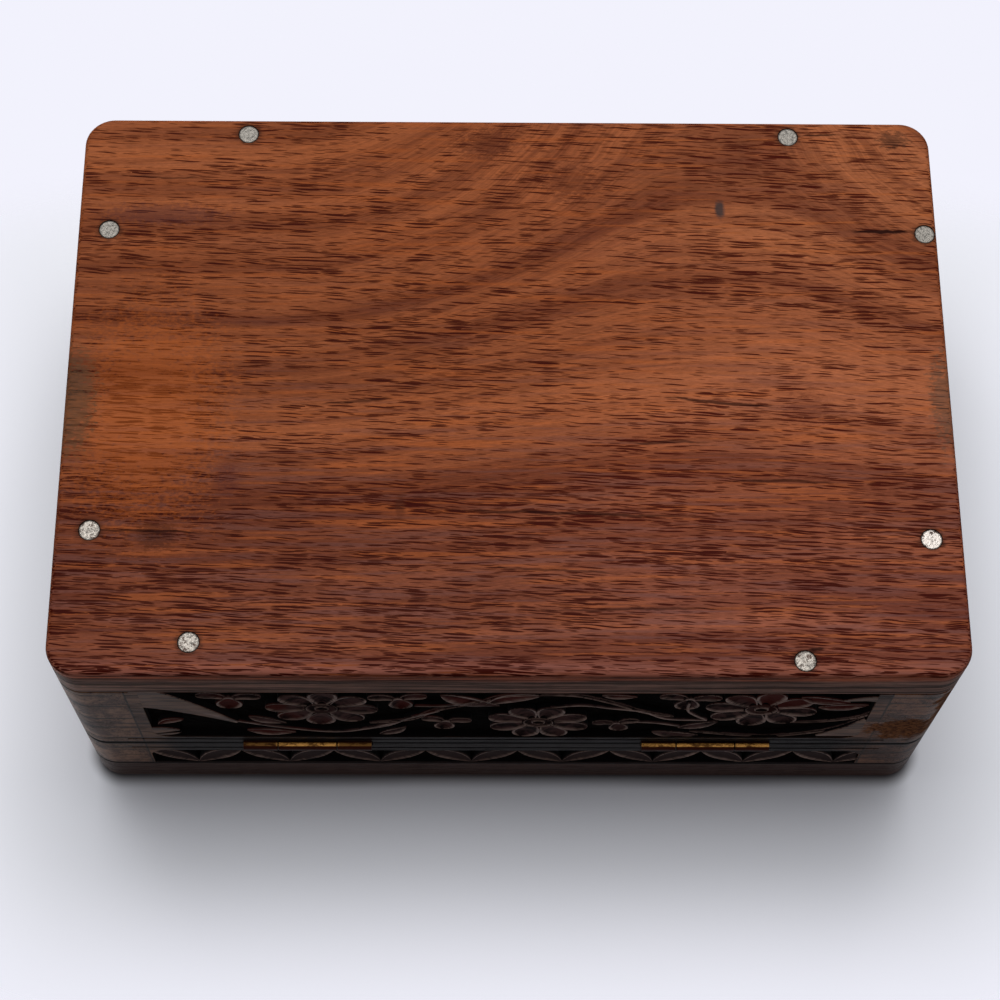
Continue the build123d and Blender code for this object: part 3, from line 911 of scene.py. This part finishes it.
# %% [markdown]
# ## Flowers, buds and leaves
# A full flower has eight scooped petals round a ring with a pierced eye. A bud is three petals on a
# short calyx. Leaves are pointed, with a creased vein or a scoop. Each motif is modelled once, on
# its own, and the panels get copies.

# %% Motifs
def ring(radius, half_width, height):
    """A blade that closes on itself round the origin."""
    turns = [k * math.pi / 8 for k in range(17)]
    circle = [(radius * math.cos(turn), radius * math.sin(turn)) for turn in turns]
    return blade(circle, lambda s: half_width, scooped, steps=24, height=height, loop=True)


def flower_motif(name, petals, inner, outer, petal_half, eye, uneven=1.0):
    """Petals round a ring. Where they are uneven, no two have quite the same length, width or turn."""
    parts = []
    for k in range(petals):
        tip = outer * (1 - uneven * random.uniform(-0.03, 0.10))
        line = [(inner, 0), ((inner + tip) / 2, uneven * random.uniform(-0.3, 0.3)), (tip, 0)]
        width = petal_width(petal_half * (1 - uneven * random.uniform(-0.05, 0.14)))
        one = blade(line, width, scooped, steps=10, height=1.28 - uneven * random.uniform(-0.04, 0.18))
        turn = 360 * k / petals + uneven * random.uniform(-4, 4)
        one.matrix_world = Matrix.Rotation(math.radians(turn), 4, "Z")
        parts.append(one)
    parts.append(ring(eye, eye * 0.48, 1.34))
    return gather(name, parts)


flower = flower_motif("flower_motif", 8, 2.9, 9.6, 2.8, 1.9, uneven=0)
rosette_inner = flower_motif("rosette_inner_motif", 8, 2.8, 9.0, 2.5, 2.1)
bud = gather("bud_motif", [
    blade([(0.5, -1.0), (3.0, -2.2), (5.6, -1.8)], petal_width(1.75), scooped, steps=9),
    blade([(-0.5, -1.0), (-3.0, -2.2), (-5.6, -1.8)], petal_width(1.75), scooped, steps=9),
    blade([(0, -0.4), (0.1, 2.0), (0, 4.6)], petal_width(2.5), scooped, steps=9),
    blade([(-1.1, -0.6), (0, -1.4), (1.1, -0.6)], leaf_width(0.8), rounded, steps=6, height=1.34),
])
leaf = gather("leaf_motif", [blade([(0, 0), (5, 0.9), (10, 0)], leaf_width(2.1, 0.45), creased, steps=12)])
motifs = [flower, rosette_inner, bud, leaf]
print("motifs:", ", ".join(f"{m.name} {len(m.data.polygons)} faces" for m in motifs))

# %% [markdown]
# ## The sunk ground
# Between the flowers the ground is cut down about a millimetre and a half and stained nearly black.
# The gouge leaves it uneven. Each ground is a grid with small random heights, clipped to the
# rounded corners of the field, and left flat shaded so that the gouge marks catch the light.

# %% Helper: sunk ground
def sunk_ground(low, high, corner, cell=1.1):
    """Uneven ground between two corners of a field, in millimetres on the panel."""
    width, depth = high[0] - low[0], high[1] - low[1]
    columns, rows = round(width / cell), round(depth / cell)
    bpy.ops.mesh.primitive_grid_add(x_subdivisions=columns, y_subdivisions=rows, size=1)
    made = bpy.context.object
    middle = Vector(((low[0] + high[0]) / 2, (low[1] + high[1]) / 2))
    for vertex in made.data.vertices:
        x, y = vertex.co.x * width, vertex.co.y * depth
        edge = [max(abs(v) - (size / 2 - corner), 0) for v, size in ((x, width), (y, depth))]
        reach = math.hypot(*edge)
        if reach > corner:
            x -= math.copysign(edge[0] * (1 - corner / reach), x)
            y -= math.copysign(edge[1] * (1 - corner / reach), y)
            reach = corner
        rough = 0.02 if reach > corner - 0.01 else random.uniform(0.03, 0.2)
        if 0.01 < abs(vertex.co.x) < 0.49 and 0.01 < abs(vertex.co.y) < 0.49:
            x += random.uniform(-0.25, 0.25)
            y += random.uniform(-0.25, 0.25)
        vertex.co = (middle.x + x, middle.y + y, rough)
    return made


crease_angle = math.radians(38)


def lay_panel(name, body, columns, origin, ground, carved):
    """Puts the ground and the carved pieces of one panel where they belong on the box.

    The columns are the ways along the panel, up it and out of it, in the frame of the box.
    """
    onto = Matrix([Vector(c) for c in columns]).transposed().to_4x4()
    onto.translation = Vector(origin)
    onto = onto @ Matrix.Diagonal((MM, MM, MM, 1))
    pieces = []
    for part, parts, finish in (("ground", [ground], ground_stain), ("carving", carved, carved_wood)):
        whole = joined(parts)
        whole.name = whole.data.name = name + "_" + part
        whole.matrix_world = onto @ whole.matrix_world
        bpy.ops.object.transform_apply(location=True, rotation=True, scale=True)
        bpy.ops.object.mode_set(mode="EDIT")
        bpy.ops.mesh.select_all(action="SELECT")
        if part == "carving":
            bpy.ops.mesh.normals_make_consistent(inside=False)
        elif onto.determinant() < 0:
            bpy.ops.mesh.flip_normals()
        bpy.ops.object.mode_set(mode="OBJECT")
        if part == "carving":
            bpy.ops.object.shade_smooth_by_angle(angle=crease_angle)
        whole.data.materials.clear()
        whole.data.materials.append(finish)
        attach(whole, body)
        pieces.append(whole)
    print(name, [(p.name, len(p.data.polygons)) for p in pieces])
    return pieces


print("panel helpers")

# %% [markdown]
# ## Finish of the carving
# Handling rubs the rims of the petals pale and glossy, while the hollows keep a reddish brown and
# the ground stays black and dull. The grey cast of the pale rims is a painted sheen, on top of the
# wear. Each blade carries a number called worn on its points, which is one on its rim, and the
# finish blends by it.

# %% Materials: carving and stained ground
carved_wood, tree, shader, place = new_material("carved_wood", roughness=0.45, specular=0.12)
worn = add_node(tree, "ShaderNodeAttribute", attribute_name="worn").outputs["Fac"]
uneven = minus(noise(place, (0.5, 0.5, 0.5), 3.0, 0.6), 0.5)
rubbing = fade(plus(worn, times(uneven, 0.9)), 0.15, 1.0)
round_the_box = vector_calc("DOT_PRODUCT", place, (0.9, 0.9, 0.1))
height = vector_calc("DOT_PRODUCT", place, (0.0, 0.0, 1.0))
carved_place = point(round_the_box, height)
# the rims are pale from rubbing, and their grey cast is a painted sheen of the gloss
rim_tones_with_sheen = wood_tones((142, 116, 105), (94, 72, 63), (20, 10, 8), 0.8)
carved_grain = use_group(wood_grain, {"Place": carved_place, **rim_tones_with_sheen})
plain_tones = wood_tones(*wall_colours, finish_pore, 0.95)
plain_grain = use_group(wood_grain, {"Place": carved_place, **plain_tones})
hollow = fade(noise(place, (0.30, 0.30, 0.9), 3.0, 0.6), 0.38, 0.60)
hollow = blend_colour(hollow, colour(22, 12, 12), colour(70, 48, 46))
red = fade(noise(place, (0.07, 0.07, 0.10), 2.0), 0.52, 0.64, 0.0, 0.75)
# the rails of the lid have less of the red, and greyer hollows
on_box = fade(height, 36.0, 42.0, 1.0, 0.3)
hollow = painted(hollow, times(red, on_box), (74, 24, 17))
on_rail = fade(on_box, 0.3, 1.0, 0.85, 0.0)
hollow = painted(hollow, on_rail, (54, 44, 43))
tone = blend_colour(rubbing, hollow, carved_grain["Color"])
tone = blend_colour(fade(worn, 1.2, 1.8), tone, plain_grain["Color"])
tone = painted(tone, fade(worn, -0.6, 0.0, 1.0, 0.0), (3, 1, 1))
tree.links.new(tone, shader.inputs["Base Color"])
tree.links.new(fade(rubbing, 0.0, 1.0, 0.9, 0.45), shader.inputs["Roughness"])
set_bump(shader, carved_grain["Height"], 0.4, 0.1)

ground_stain, tree, shader, place = new_material("ground_stain", roughness=0.95, specular=0.02)
dust = fade(noise(place, (0.35, 0.35, 0.35), 4.0, 0.7), 0.55, 0.8)
tree.links.new(blend_colour(dust, colour(5, 3, 2), colour(22, 14, 11)), shader.inputs["Base Color"])
print("carved wood and stained ground")

# %% [markdown]
# ## The back of the box
# The photograph shows this side well: three flowers on a scroll that runs from the left end to the
# right, with buds and leaves in its bends. Places are millimetres along the wall and up from the
# base. Where the scroll meets the ends, it runs out of uncut wood, which stands as flat lobes.
# The solids carry the flowers and that uncut wood too, and these pieces lie over them.

# %% Scroll for a long wall
long_flowers = [(-31.8, 18.7, 4, 1.0), (5.3, 26.2, 20, 0.96), (43.2, 18.8, 10, 1.02)]
long_buds = [
    (-47.2, 14.0, 4, 0.98), (-18.6, 14.3, -6, 0.9), (-10.8, 26.4, 8, 0.78),
    (19.0, 27.4, -10, 0.74), (30.4, 14.2, 6, 0.95),
]
# leaves: foot, turn and size
long_leaves = [
    (-44.6, 23.2, 30, 0.72), (-45.5, 31.0, 8, 0.85), (-22.4, 33.2, -40, 0.62), (-11.5, 11.2, 30, 1.15),
    (5.4, 11.4, 152, 1.05), (15.6, 11.2, 8, 0.6), (25.4, 31.8, 12, 0.85), (29.8, 29.2, -28, 0.75),
    (49.2, 12.2, 16, 0.9), (52.8, 17.6, -10, 0.85), (-56.0, 25.0, 150, 0.55),
]
# stems: their points, and how wide they are at each end
long_stems = [
    ([(-47.6, 25.9), (-38.0, 30.4), (-28.5, 32.2), (-18.6, 26.6)], 0.45, 0.5),
    ([(-24.0, 27.0), (-16.9, 24.9), (-12.3, 19.7), (-4.6, 15.0)], 0.5, 0.75),
    ([(-25.0, 30.9), (-20.5, 28.4), (-16.9, 24.3), (-11.7, 20.3)], 0.4, 0.5),
    ([(-16.0, 17.5), (-11.0, 17.6), (-5.6, 15.4)], 0.35, 0.45),
    ([(-4.6, 15.0), (0.1, 11.6), (10.4, 11.3), (17.1, 15.1), (23.1, 20.4), (28.6, 23.2)], 0.75, 0.6),
    ([(5.6, 18.9), (12.3, 17.2), (17.7, 18.8), (23.1, 20.6), (27.5, 24.6), (34.5, 25.4)], 0.4, 0.55),
    ([(20.5, 26.2), (25.6, 26.9), (30.4, 28.9)], 0.4, 0.45),
    ([(32.0, 31.6), (42.1, 33.9), (48.3, 33.9), (56.6, 30.3), (61.0, 25.0), (66.4, 17.2)], 0.5, 0.9),
    ([(49.0, 26.2), (54.5, 25.6), (60.8, 22.8), (64.0, 17.2), (67.2, 12.2)], 0.45, 0.8),
    ([(34.5, 25.4), (31.0, 20.6), (30.6, 15.5)], 0.5, 0.4),
]
# lobes: their points, how wide they are at each end, and how long they keep their width
long_lobes = [
    ([(-64.5, 11.5), (-59.0, 14.6), (-53.0, 19.6), (-46.8, 26.0)], 6.6, 0.3, 0.9),
    ([(-64.5, 31.6), (-61.0, 31.5), (-57.2, 31.3)], 2.3, 0.6, 6.0),
    ([(64.5, 28.0), (60.5, 30.6), (54.5, 33.1)], 5.6, 0.3, 1.1),
    ([(64.5, 13.0), (60.5, 12.4), (56.5, 13.4)], 1.5, 0.2, 1.5),
]


def lobe_width(start, end, taper):
    """Wide where it leaves the plain wood, round or drawn out at its end."""
    return lambda s: end + (start - end) * (1 - s ** taper)


def scroll(flowers, buds, leaves, stems, lobes, mirrored=False):
    """Copies of the motifs, the stems between them, and the lobes at the ends, for one panel."""
    way = -1 if mirrored else 1
    made = []
    for line, start, end in stems:
        section = scooped if max(start, end) > 0.6 else rounded
        turned_line = [(way * x, y) for x, y in line]
        steps = 10 * (len(line) - 1)
        made.append(blade(turned_line, stem_width(start, end), section, steps=steps, height=1.15))
    for motif, places, squat in ((flower, flowers, 0.9), (bud, buds, 1.0), (leaf, leaves, 1.0)):
        for x, y, turn, size in places:
            one = copy_of(motif, turn, size, (x, y), squat)
            one.matrix_world = Matrix.Diagonal((way, 1, 1, 1)) @ one.matrix_world
            made.append(one)
    closed = gather("stems", made[:len(stems)])
    for line, start, end, taper in lobes:
        turned_line = [(way * x, y) for x, y in line]
        one = blade(turned_line, lobe_width(start, end, taper), lobe, steps=16, height=1.38)
        made.append(gather("lobe", [one]))
    return [closed] + made[len(stems):]


ground_low, ground_high = 9.5, 34.5
for name, way in (("back", 1), ("front", -1)):
    lay_panel(
        name,
        "box",
        ((1, 0, 0), (0, 0, 1), (0, way, 0)),
        (0, way * (half_depth - carving_depth), 0),
        sunk_ground((-62.0, ground_low), (62.0, ground_high), 3.0),
        scroll(long_flowers, long_buds, long_leaves, long_stems, long_lobes, mirrored=way < 0),
    )

# %% [markdown]
# ## The ends of the box
# The photograph doesn't show the ends. Such a box carries the same scroll all round, so each end has
# a shorter run of it, with two flowers.

# %% Scroll for an end wall
short_flowers = [(-19.5, 19.6, 8, 1.0), (19.0, 24.8, 25, 0.96)]
short_buds = [(-33.5, 27.0, 170, 0.8), (0.2, 28.6, 0, 0.8), (31.8, 14.6, 6, 0.8)]
short_leaves = [
    (-5.0, 12.0, 30, 0.9), (11.5, 12.2, 168, 0.8), (2.0, 18.8, 12, 0.7),
    (41.0, 20.0, 170, 0.7), (-22.0, 32.2, -8, 0.8), (22.0, 12.2, 4, 0.7),
]
short_stems = [
    (
        [(-33.8, 21.0), (-28.5, 30.6), (-18.0, 32.8), (-6.8, 27.0), (-3.0, 18.5), (3.0, 12.6), (13.0, 12.2)],
        0.5, 0.5,
    ),
    ([(-6.8, 27.0), (-3.5, 30.8), (0.2, 31.2)], 0.4, 0.4),
    ([(13.0, 12.2), (22.5, 11.8), (29.0, 15.5)], 0.5, 0.4),
    ([(28.0, 24.5), (33.0, 23.5), (36.5, 26.8), (41.5, 26.2)], 0.5, 1.4),
]
short_lobes = [
    ([(-41.0, 12.0), (-36.5, 13.6), (-33.8, 18.0), (-33.2, 23.5)], 4.2, 0.3, 0.9),
    ([(-41.0, 31.4), (-38.0, 31.4), (-35.0, 31.0)], 2.0, 0.3, 4.0),
    ([(41.0, 29.5), (37.0, 31.2), (31.5, 33.2)], 4.6, 0.3, 1.1),
]
for name, way in (("right", 1), ("left", -1)):
    lay_panel(
        name,
        "box",
        ((0, 1, 0), (0, 0, 1), (way, 0, 0)),
        (way * (half_length - carving_depth), 0, 0),
        sunk_ground((-38.75, ground_low), (38.75, ground_high), 3.0),
        scroll(short_flowers, short_buds, short_leaves, short_stems, short_lobes, mirrored=way < 0),
    )

# %% [markdown]
# ## The rails of the lid
# Round the lid runs a chain of pointed leaves that lean left and right by turns, tip to tip, with
# black triangles between them. Each bows a little towards the rim.

# %% Chain of leaves on each rail
rail_low, rail_high = 42.6, 50.5


def leaf_chain(start, step, count):
    """Leaves between the rim edge and the board edge of a rail, tip to tip."""
    made = []
    for k in range(count):
        foot, tip = rail_low + 0.5, rail_high - 0.35
        middle = (foot + tip) / 2 - 0.75
        if k % 2:
            foot, tip = tip, foot
        x, next_x = start + k * step, start + (k + 1) * step
        line = [(x, foot), ((x + next_x) / 2, middle), (next_x, tip)]
        width = leaf_width(2.35 * random.uniform(0.94, 1.05))
        made.append(blade(line, width, scooped, steps=12, height=1.25))
    return made


# each rail: its name, the way along it, the way it faces, half its field, and the chain's start,
# step and count
for name, along_it, faces, reach, start, step, count in (
    ("lid_back", (1, 0, 0), (0, 1, 0), 64.0, -64.2, 8.28, 16),
    ("lid_front", (1, 0, 0), (0, -1, 0), 64.0, -66.2, 8.275, 16),
    ("lid_right", (0, 1, 0), (1, 0, 0), 40.75, -41.4, 8.28, 10),
    ("lid_left", (0, 1, 0), (-1, 0, 0), 40.75, -41.4, 8.28, 10),
):
    outer = (half_length - carving_depth, half_depth - carving_depth, 0)
    origin = [way * size for way, size in zip(faces, outer)]
    leaves = gather("chain", leaf_chain(start, step, count))
    ground = sunk_ground((-reach, rail_low), (reach, rail_high), 3.0)
    lay_panel(name, "lid", (along_it, (0, 0, 1), faces), origin, ground, [leaves])

# %% [markdown]
# ## The top of the lid
# The photograph doesn't show it either, because the box lies on it. Boxes of this kind are always
# carved there too, so the sunk field has a large rosette in the middle, and in each quarter a
# flower, a bud and leaves on one scroll. A quarter is listed once and mirrored three times. The
# solids carry all of these forms too, and these pieces lie over them.

# %% Rosette and scrolls on the lid
def arc(start, through, end):
    """Places along the arc through three places."""
    count = 7
    (ax, ay), (bx, by), (cx, cy) = start, through, end
    a, b, c = ax * ax + ay * ay, bx * bx + by * by, cx * cx + cy * cy
    twice = 2 * (ax * (by - cy) + bx * (cy - ay) + cx * (ay - by))
    x = (a * (by - cy) + b * (cy - ay) + c * (ay - by)) / twice
    y = (a * (cx - bx) + b * (ax - cx) + c * (bx - ax)) / twice
    radius = math.hypot(ax - x, ay - y)
    first = math.atan2(ay - y, ax - x)
    turn = (math.atan2(cy - y, cx - x) - first + math.pi) % math.tau - math.pi
    turns = [first + turn * k / (count - 1) for k in range(count)]
    return [(x + radius * math.cos(t), y + radius * math.sin(t)) for t in turns]


def straight_line(start, end):
    """Two ends and the middle between them."""
    return [start, ((start[0] + end[0]) / 2, (start[1] + end[1]) / 2), end]


top_flower = flower_motif("top_flower_motif", 8, 2.9, 10.8, 2.75, 1.85, uneven=0)
top_bud = gather("top_bud_motif", [
    blade(straight_line((0.8, -1.14), (5.8, -2.02)), petal_width(1.85), scooped, steps=9),
    blade(straight_line((-0.8, -1.14), (-5.8, -2.02)), petal_width(1.85), scooped, steps=9),
    blade(straight_line((0, -0.3), (0, 4.8)), petal_width(2.4), scooped, steps=9),
    blade([(-1.1, -0.9), (0, -1.7), (1.1, -0.9)], leaf_width(0.8), rounded, steps=6, height=1.34),
])
motifs += [top_flower, top_bud]
# leaves of a quarter: the foot, the way they point, and their length
top_leaves = [
    ((17.0, 15.5), 62, 9.0), ((29.0, 7.0), 8, 10.5), ((31.5, 33.5), -8, 9.5), ((57.5, 31.0), 250, 9.5),
    ((57.5, 8.0), 100, 8.0), ((13.5, 33.5), -35, 9.0), ((1.8, 28.0), 75, 8.0), ((46.5, 5.6), 12, 9.0),
]
# stems of a quarter, each an arc through three places
top_stems = [
    ((13.0, 9.5), (21.0, 16.0), (22.5, 29.3)), ((17.0, 3.5), (27.0, 6.0), (35.0, 13.0)),
    ((27.0, 6.0), (42.0, 4.0), (57.0, 9.0)), ((22.3, 20.0), (31.0, 33.0), (45.0, 35.8)),
    ((45.0, 35.8), (56.0, 33.0), (60.0, 22.0)), ((22.0, 22.0), (12.5, 30.5), (3.5, 26.0)),
]
arcs = [arc(*places) for places in top_stems]
top_parts = [blade(one, stem_width(0.68, 0.62), rounded, steps=30, height=1.12) for one in arcs]
top_parts = [gather("quarter_stems", top_parts)]
top_parts.append(copy_of(top_flower, place=(43.5, 20.5)))
top_parts.append(copy_of(top_bud, place=(22.5, 29.0)))
for foot, turn, length in top_leaves:
    top_parts.append(copy_of(leaf, turn, length / 10, foot))
quarter = joined(top_parts)
bpy.ops.object.transform_apply(location=True, rotation=True, scale=True)
whole_top = [quarter]
for flip_x, flip_y in ((-1, 1), (1, -1), (-1, -1)):
    one = copy_of(quarter)
    one.matrix_world = Matrix.Diagonal((flip_x, flip_y, 1, 1))
    whole_top.append(one)
petal = blade(straight_line((7.4, 0), (15.9, 0)), petal_width(2.85), scooped, steps=11)
rosette = [copy_of(rosette_inner, 11, 0.82)]
rosette += [copy_of(petal, 360 * k / 12) for k in range(1, 12)] + [petal]
rosette = gather("rosette", rosette)
lay_panel(
    "lid_top",
    "lid",
    ((1, 0, 0), (0, 1, 0), (0, 0, 1)),
    (0, 0, lid_top - carving_depth),
    sunk_ground((-63.0, -39.75), (63.0, 39.75), 9.0, cell=1.3),
    whole_top + [rosette],
)
for motif in motifs:
    bpy.data.objects.remove(motif)
print("motifs put away")

# %% [markdown]
# ## The table under, and over, the box
# The photograph's pale table touches the top of the lid, because the box lies on it. Seen from any
# other side the box should stand on its base. So there are two thin sheets, each seen only from one
# side: one on the lid for the camera below, and one under the base for cameras above. The sheet on
# the lid is small and fades out at its edge, and it stays where it is when the lid opens. Neither
# shades the box.

# %% Floors
def floor_sheet(name, level, reach, faces_up, fade_from):
    """A flat sheet of floor with a painted contact shadow round the box, seen from one side only."""
    bpy.ops.mesh.primitive_plane_add(size=1, location=(0, 0, level))
    sheet = bpy.context.object
    sheet.name = name
    low, high = reach
    for vertex in sheet.data.vertices:
        vertex.co.x = (high if vertex.co.x > 0 else low)[0]
        vertex.co.y = (high if vertex.co.y > 0 else low)[1]
        vertex.co.z = level
    sheet.location = (0, 0, 0)
    if not faces_up:
        bpy.ops.object.mode_set(mode="EDIT")
        bpy.ops.mesh.select_all(action="SELECT")
        bpy.ops.mesh.flip_normals()
        bpy.ops.object.mode_set(mode="OBJECT")
    made, tree, shader, place = new_material(name, roughness=0.9, specular=0.1)
    cloudy = noise(place, (0.012, 0.012, 0.012), 2.0)
    tint = blend_colour(cloudy, colour(232, 234, 240), colour(240, 241, 248))
    along, across = apart(place)[:2]
    corner = []
    for value, half in ((along, half_length), (across, half_depth)):
        over = minus(distance(value), half / MM - outline_corner)
        corner.append(larger(over, 0.0))
    from_box = vector_calc("LENGTH", point(*corner))
    # painted contact shadow: the floor is darkened close round the outline of the box
    painted_contact_shadow = fade(from_box, outline_corner - 1.0, outline_corner + 2.6, 0.95, 0.0)
    tint = painted(tint, painted_contact_shadow, (26, 20, 20))
    tree.links.new(tint, shader.inputs["Base Color"])
    past = []
    for value, edge, room in (
        (along, half_length, high[0] - half_length),
        (times(along, -1.0), half_length, -low[0] - half_length),
        (across, half_depth, high[1] - half_depth),
        (times(across, -1.0), half_depth, -low[1] - half_depth),
    ):
        share = calc("DIVIDE", minus(value, edge / MM), room / MM)
        past.append(larger(share, 0.0))
    away = point(plus(past[0], past[1]), plus(past[2], past[3]))
    solid = fade(vector_calc("LENGTH", away), fade_from, 1.0, 1.0, 0.0)
    behind = tree.nodes.new("ShaderNodeNewGeometry").outputs["Backfacing"]
    solid = times(solid, minus(1.0, behind))
    if not faces_up:
        # seen from nearly level, this sheet would be a pale line beside the lid
        facing = add_node(tree, "ShaderNodeLayerWeight").outputs["Facing"]
        solid = times(solid, fade(facing, 0.75, 0.9, 1.0, 0.0))
    tree.links.new(solid, shader.inputs["Alpha"])
    sheet.data.materials.append(made)
    sheet.visible_shadow = False
    sheet.visible_diffuse = False
    return sheet


over_reach = ((-0.130, -0.080), (0.130, 0.110))
under_reach = ((-1.8, -1.8), (1.8, 1.8))
table_over = floor_sheet("table_over", lid_top + 0.03 * MM, over_reach, False, 0.25)
table_under = floor_sheet("table_under", 0.0, under_reach, True, 0.12)
print("floors:", table_over.name, table_under.name)

# %% [markdown]
# ## Light
# Two large soft lamps, one on each side, light whatever the camera sees: one below, for the
# photograph, and one above, for the box as it stands. The world gives the rest. What the camera
# sees of the world is a pale backdrop of its own, which doesn't light the box.

# %% Lamps and world
def soft_lamp(name, place, size, power):
    """A square lamp that faces the origin."""
    data = bpy.data.lights.new(name, "AREA")
    data.energy = power
    data.size = size
    lamp = bpy.data.objects.new(name, data)
    bpy.context.scene.collection.objects.link(lamp)
    lamp.location = place
    lamp.rotation_euler = (-Vector(place)).to_track_quat("-Z", "Y").to_euler()
    return lamp


soft_lamp("lamp_below", (-0.03, -0.31, -0.99), 0.8, 11.0)
soft_lamp("lamp_above", (-0.35, -0.45, 1.0), 1.0, 11.5)
world = bpy.data.worlds.new("room")
bpy.context.scene.world = world
world.use_nodes = True
tree = world.node_tree
room = tree.nodes["Background"]
room.inputs["Color"].default_value = colour(240, 240, 244)
room.inputs["Strength"].default_value = 0.26
backdrop = add_node(tree, "ShaderNodeBackground", {"Color": colour(242, 242, 253), "Strength": 1.0})
kind_of_ray = tree.nodes.new("ShaderNodeLightPath")
choose = add_node(tree, "ShaderNodeMixShader", {0: kind_of_ray.outputs["Is Camera Ray"]})
tree.links.new(room.outputs[0], choose.inputs[1])
tree.links.new(backdrop.outputs[0], choose.inputs[2])
tree.links.new(choose.outputs[0], tree.nodes["World Output"].inputs[0])
bpy.context.scene.view_settings.view_transform = "Standard"
print("two lamps and the world")
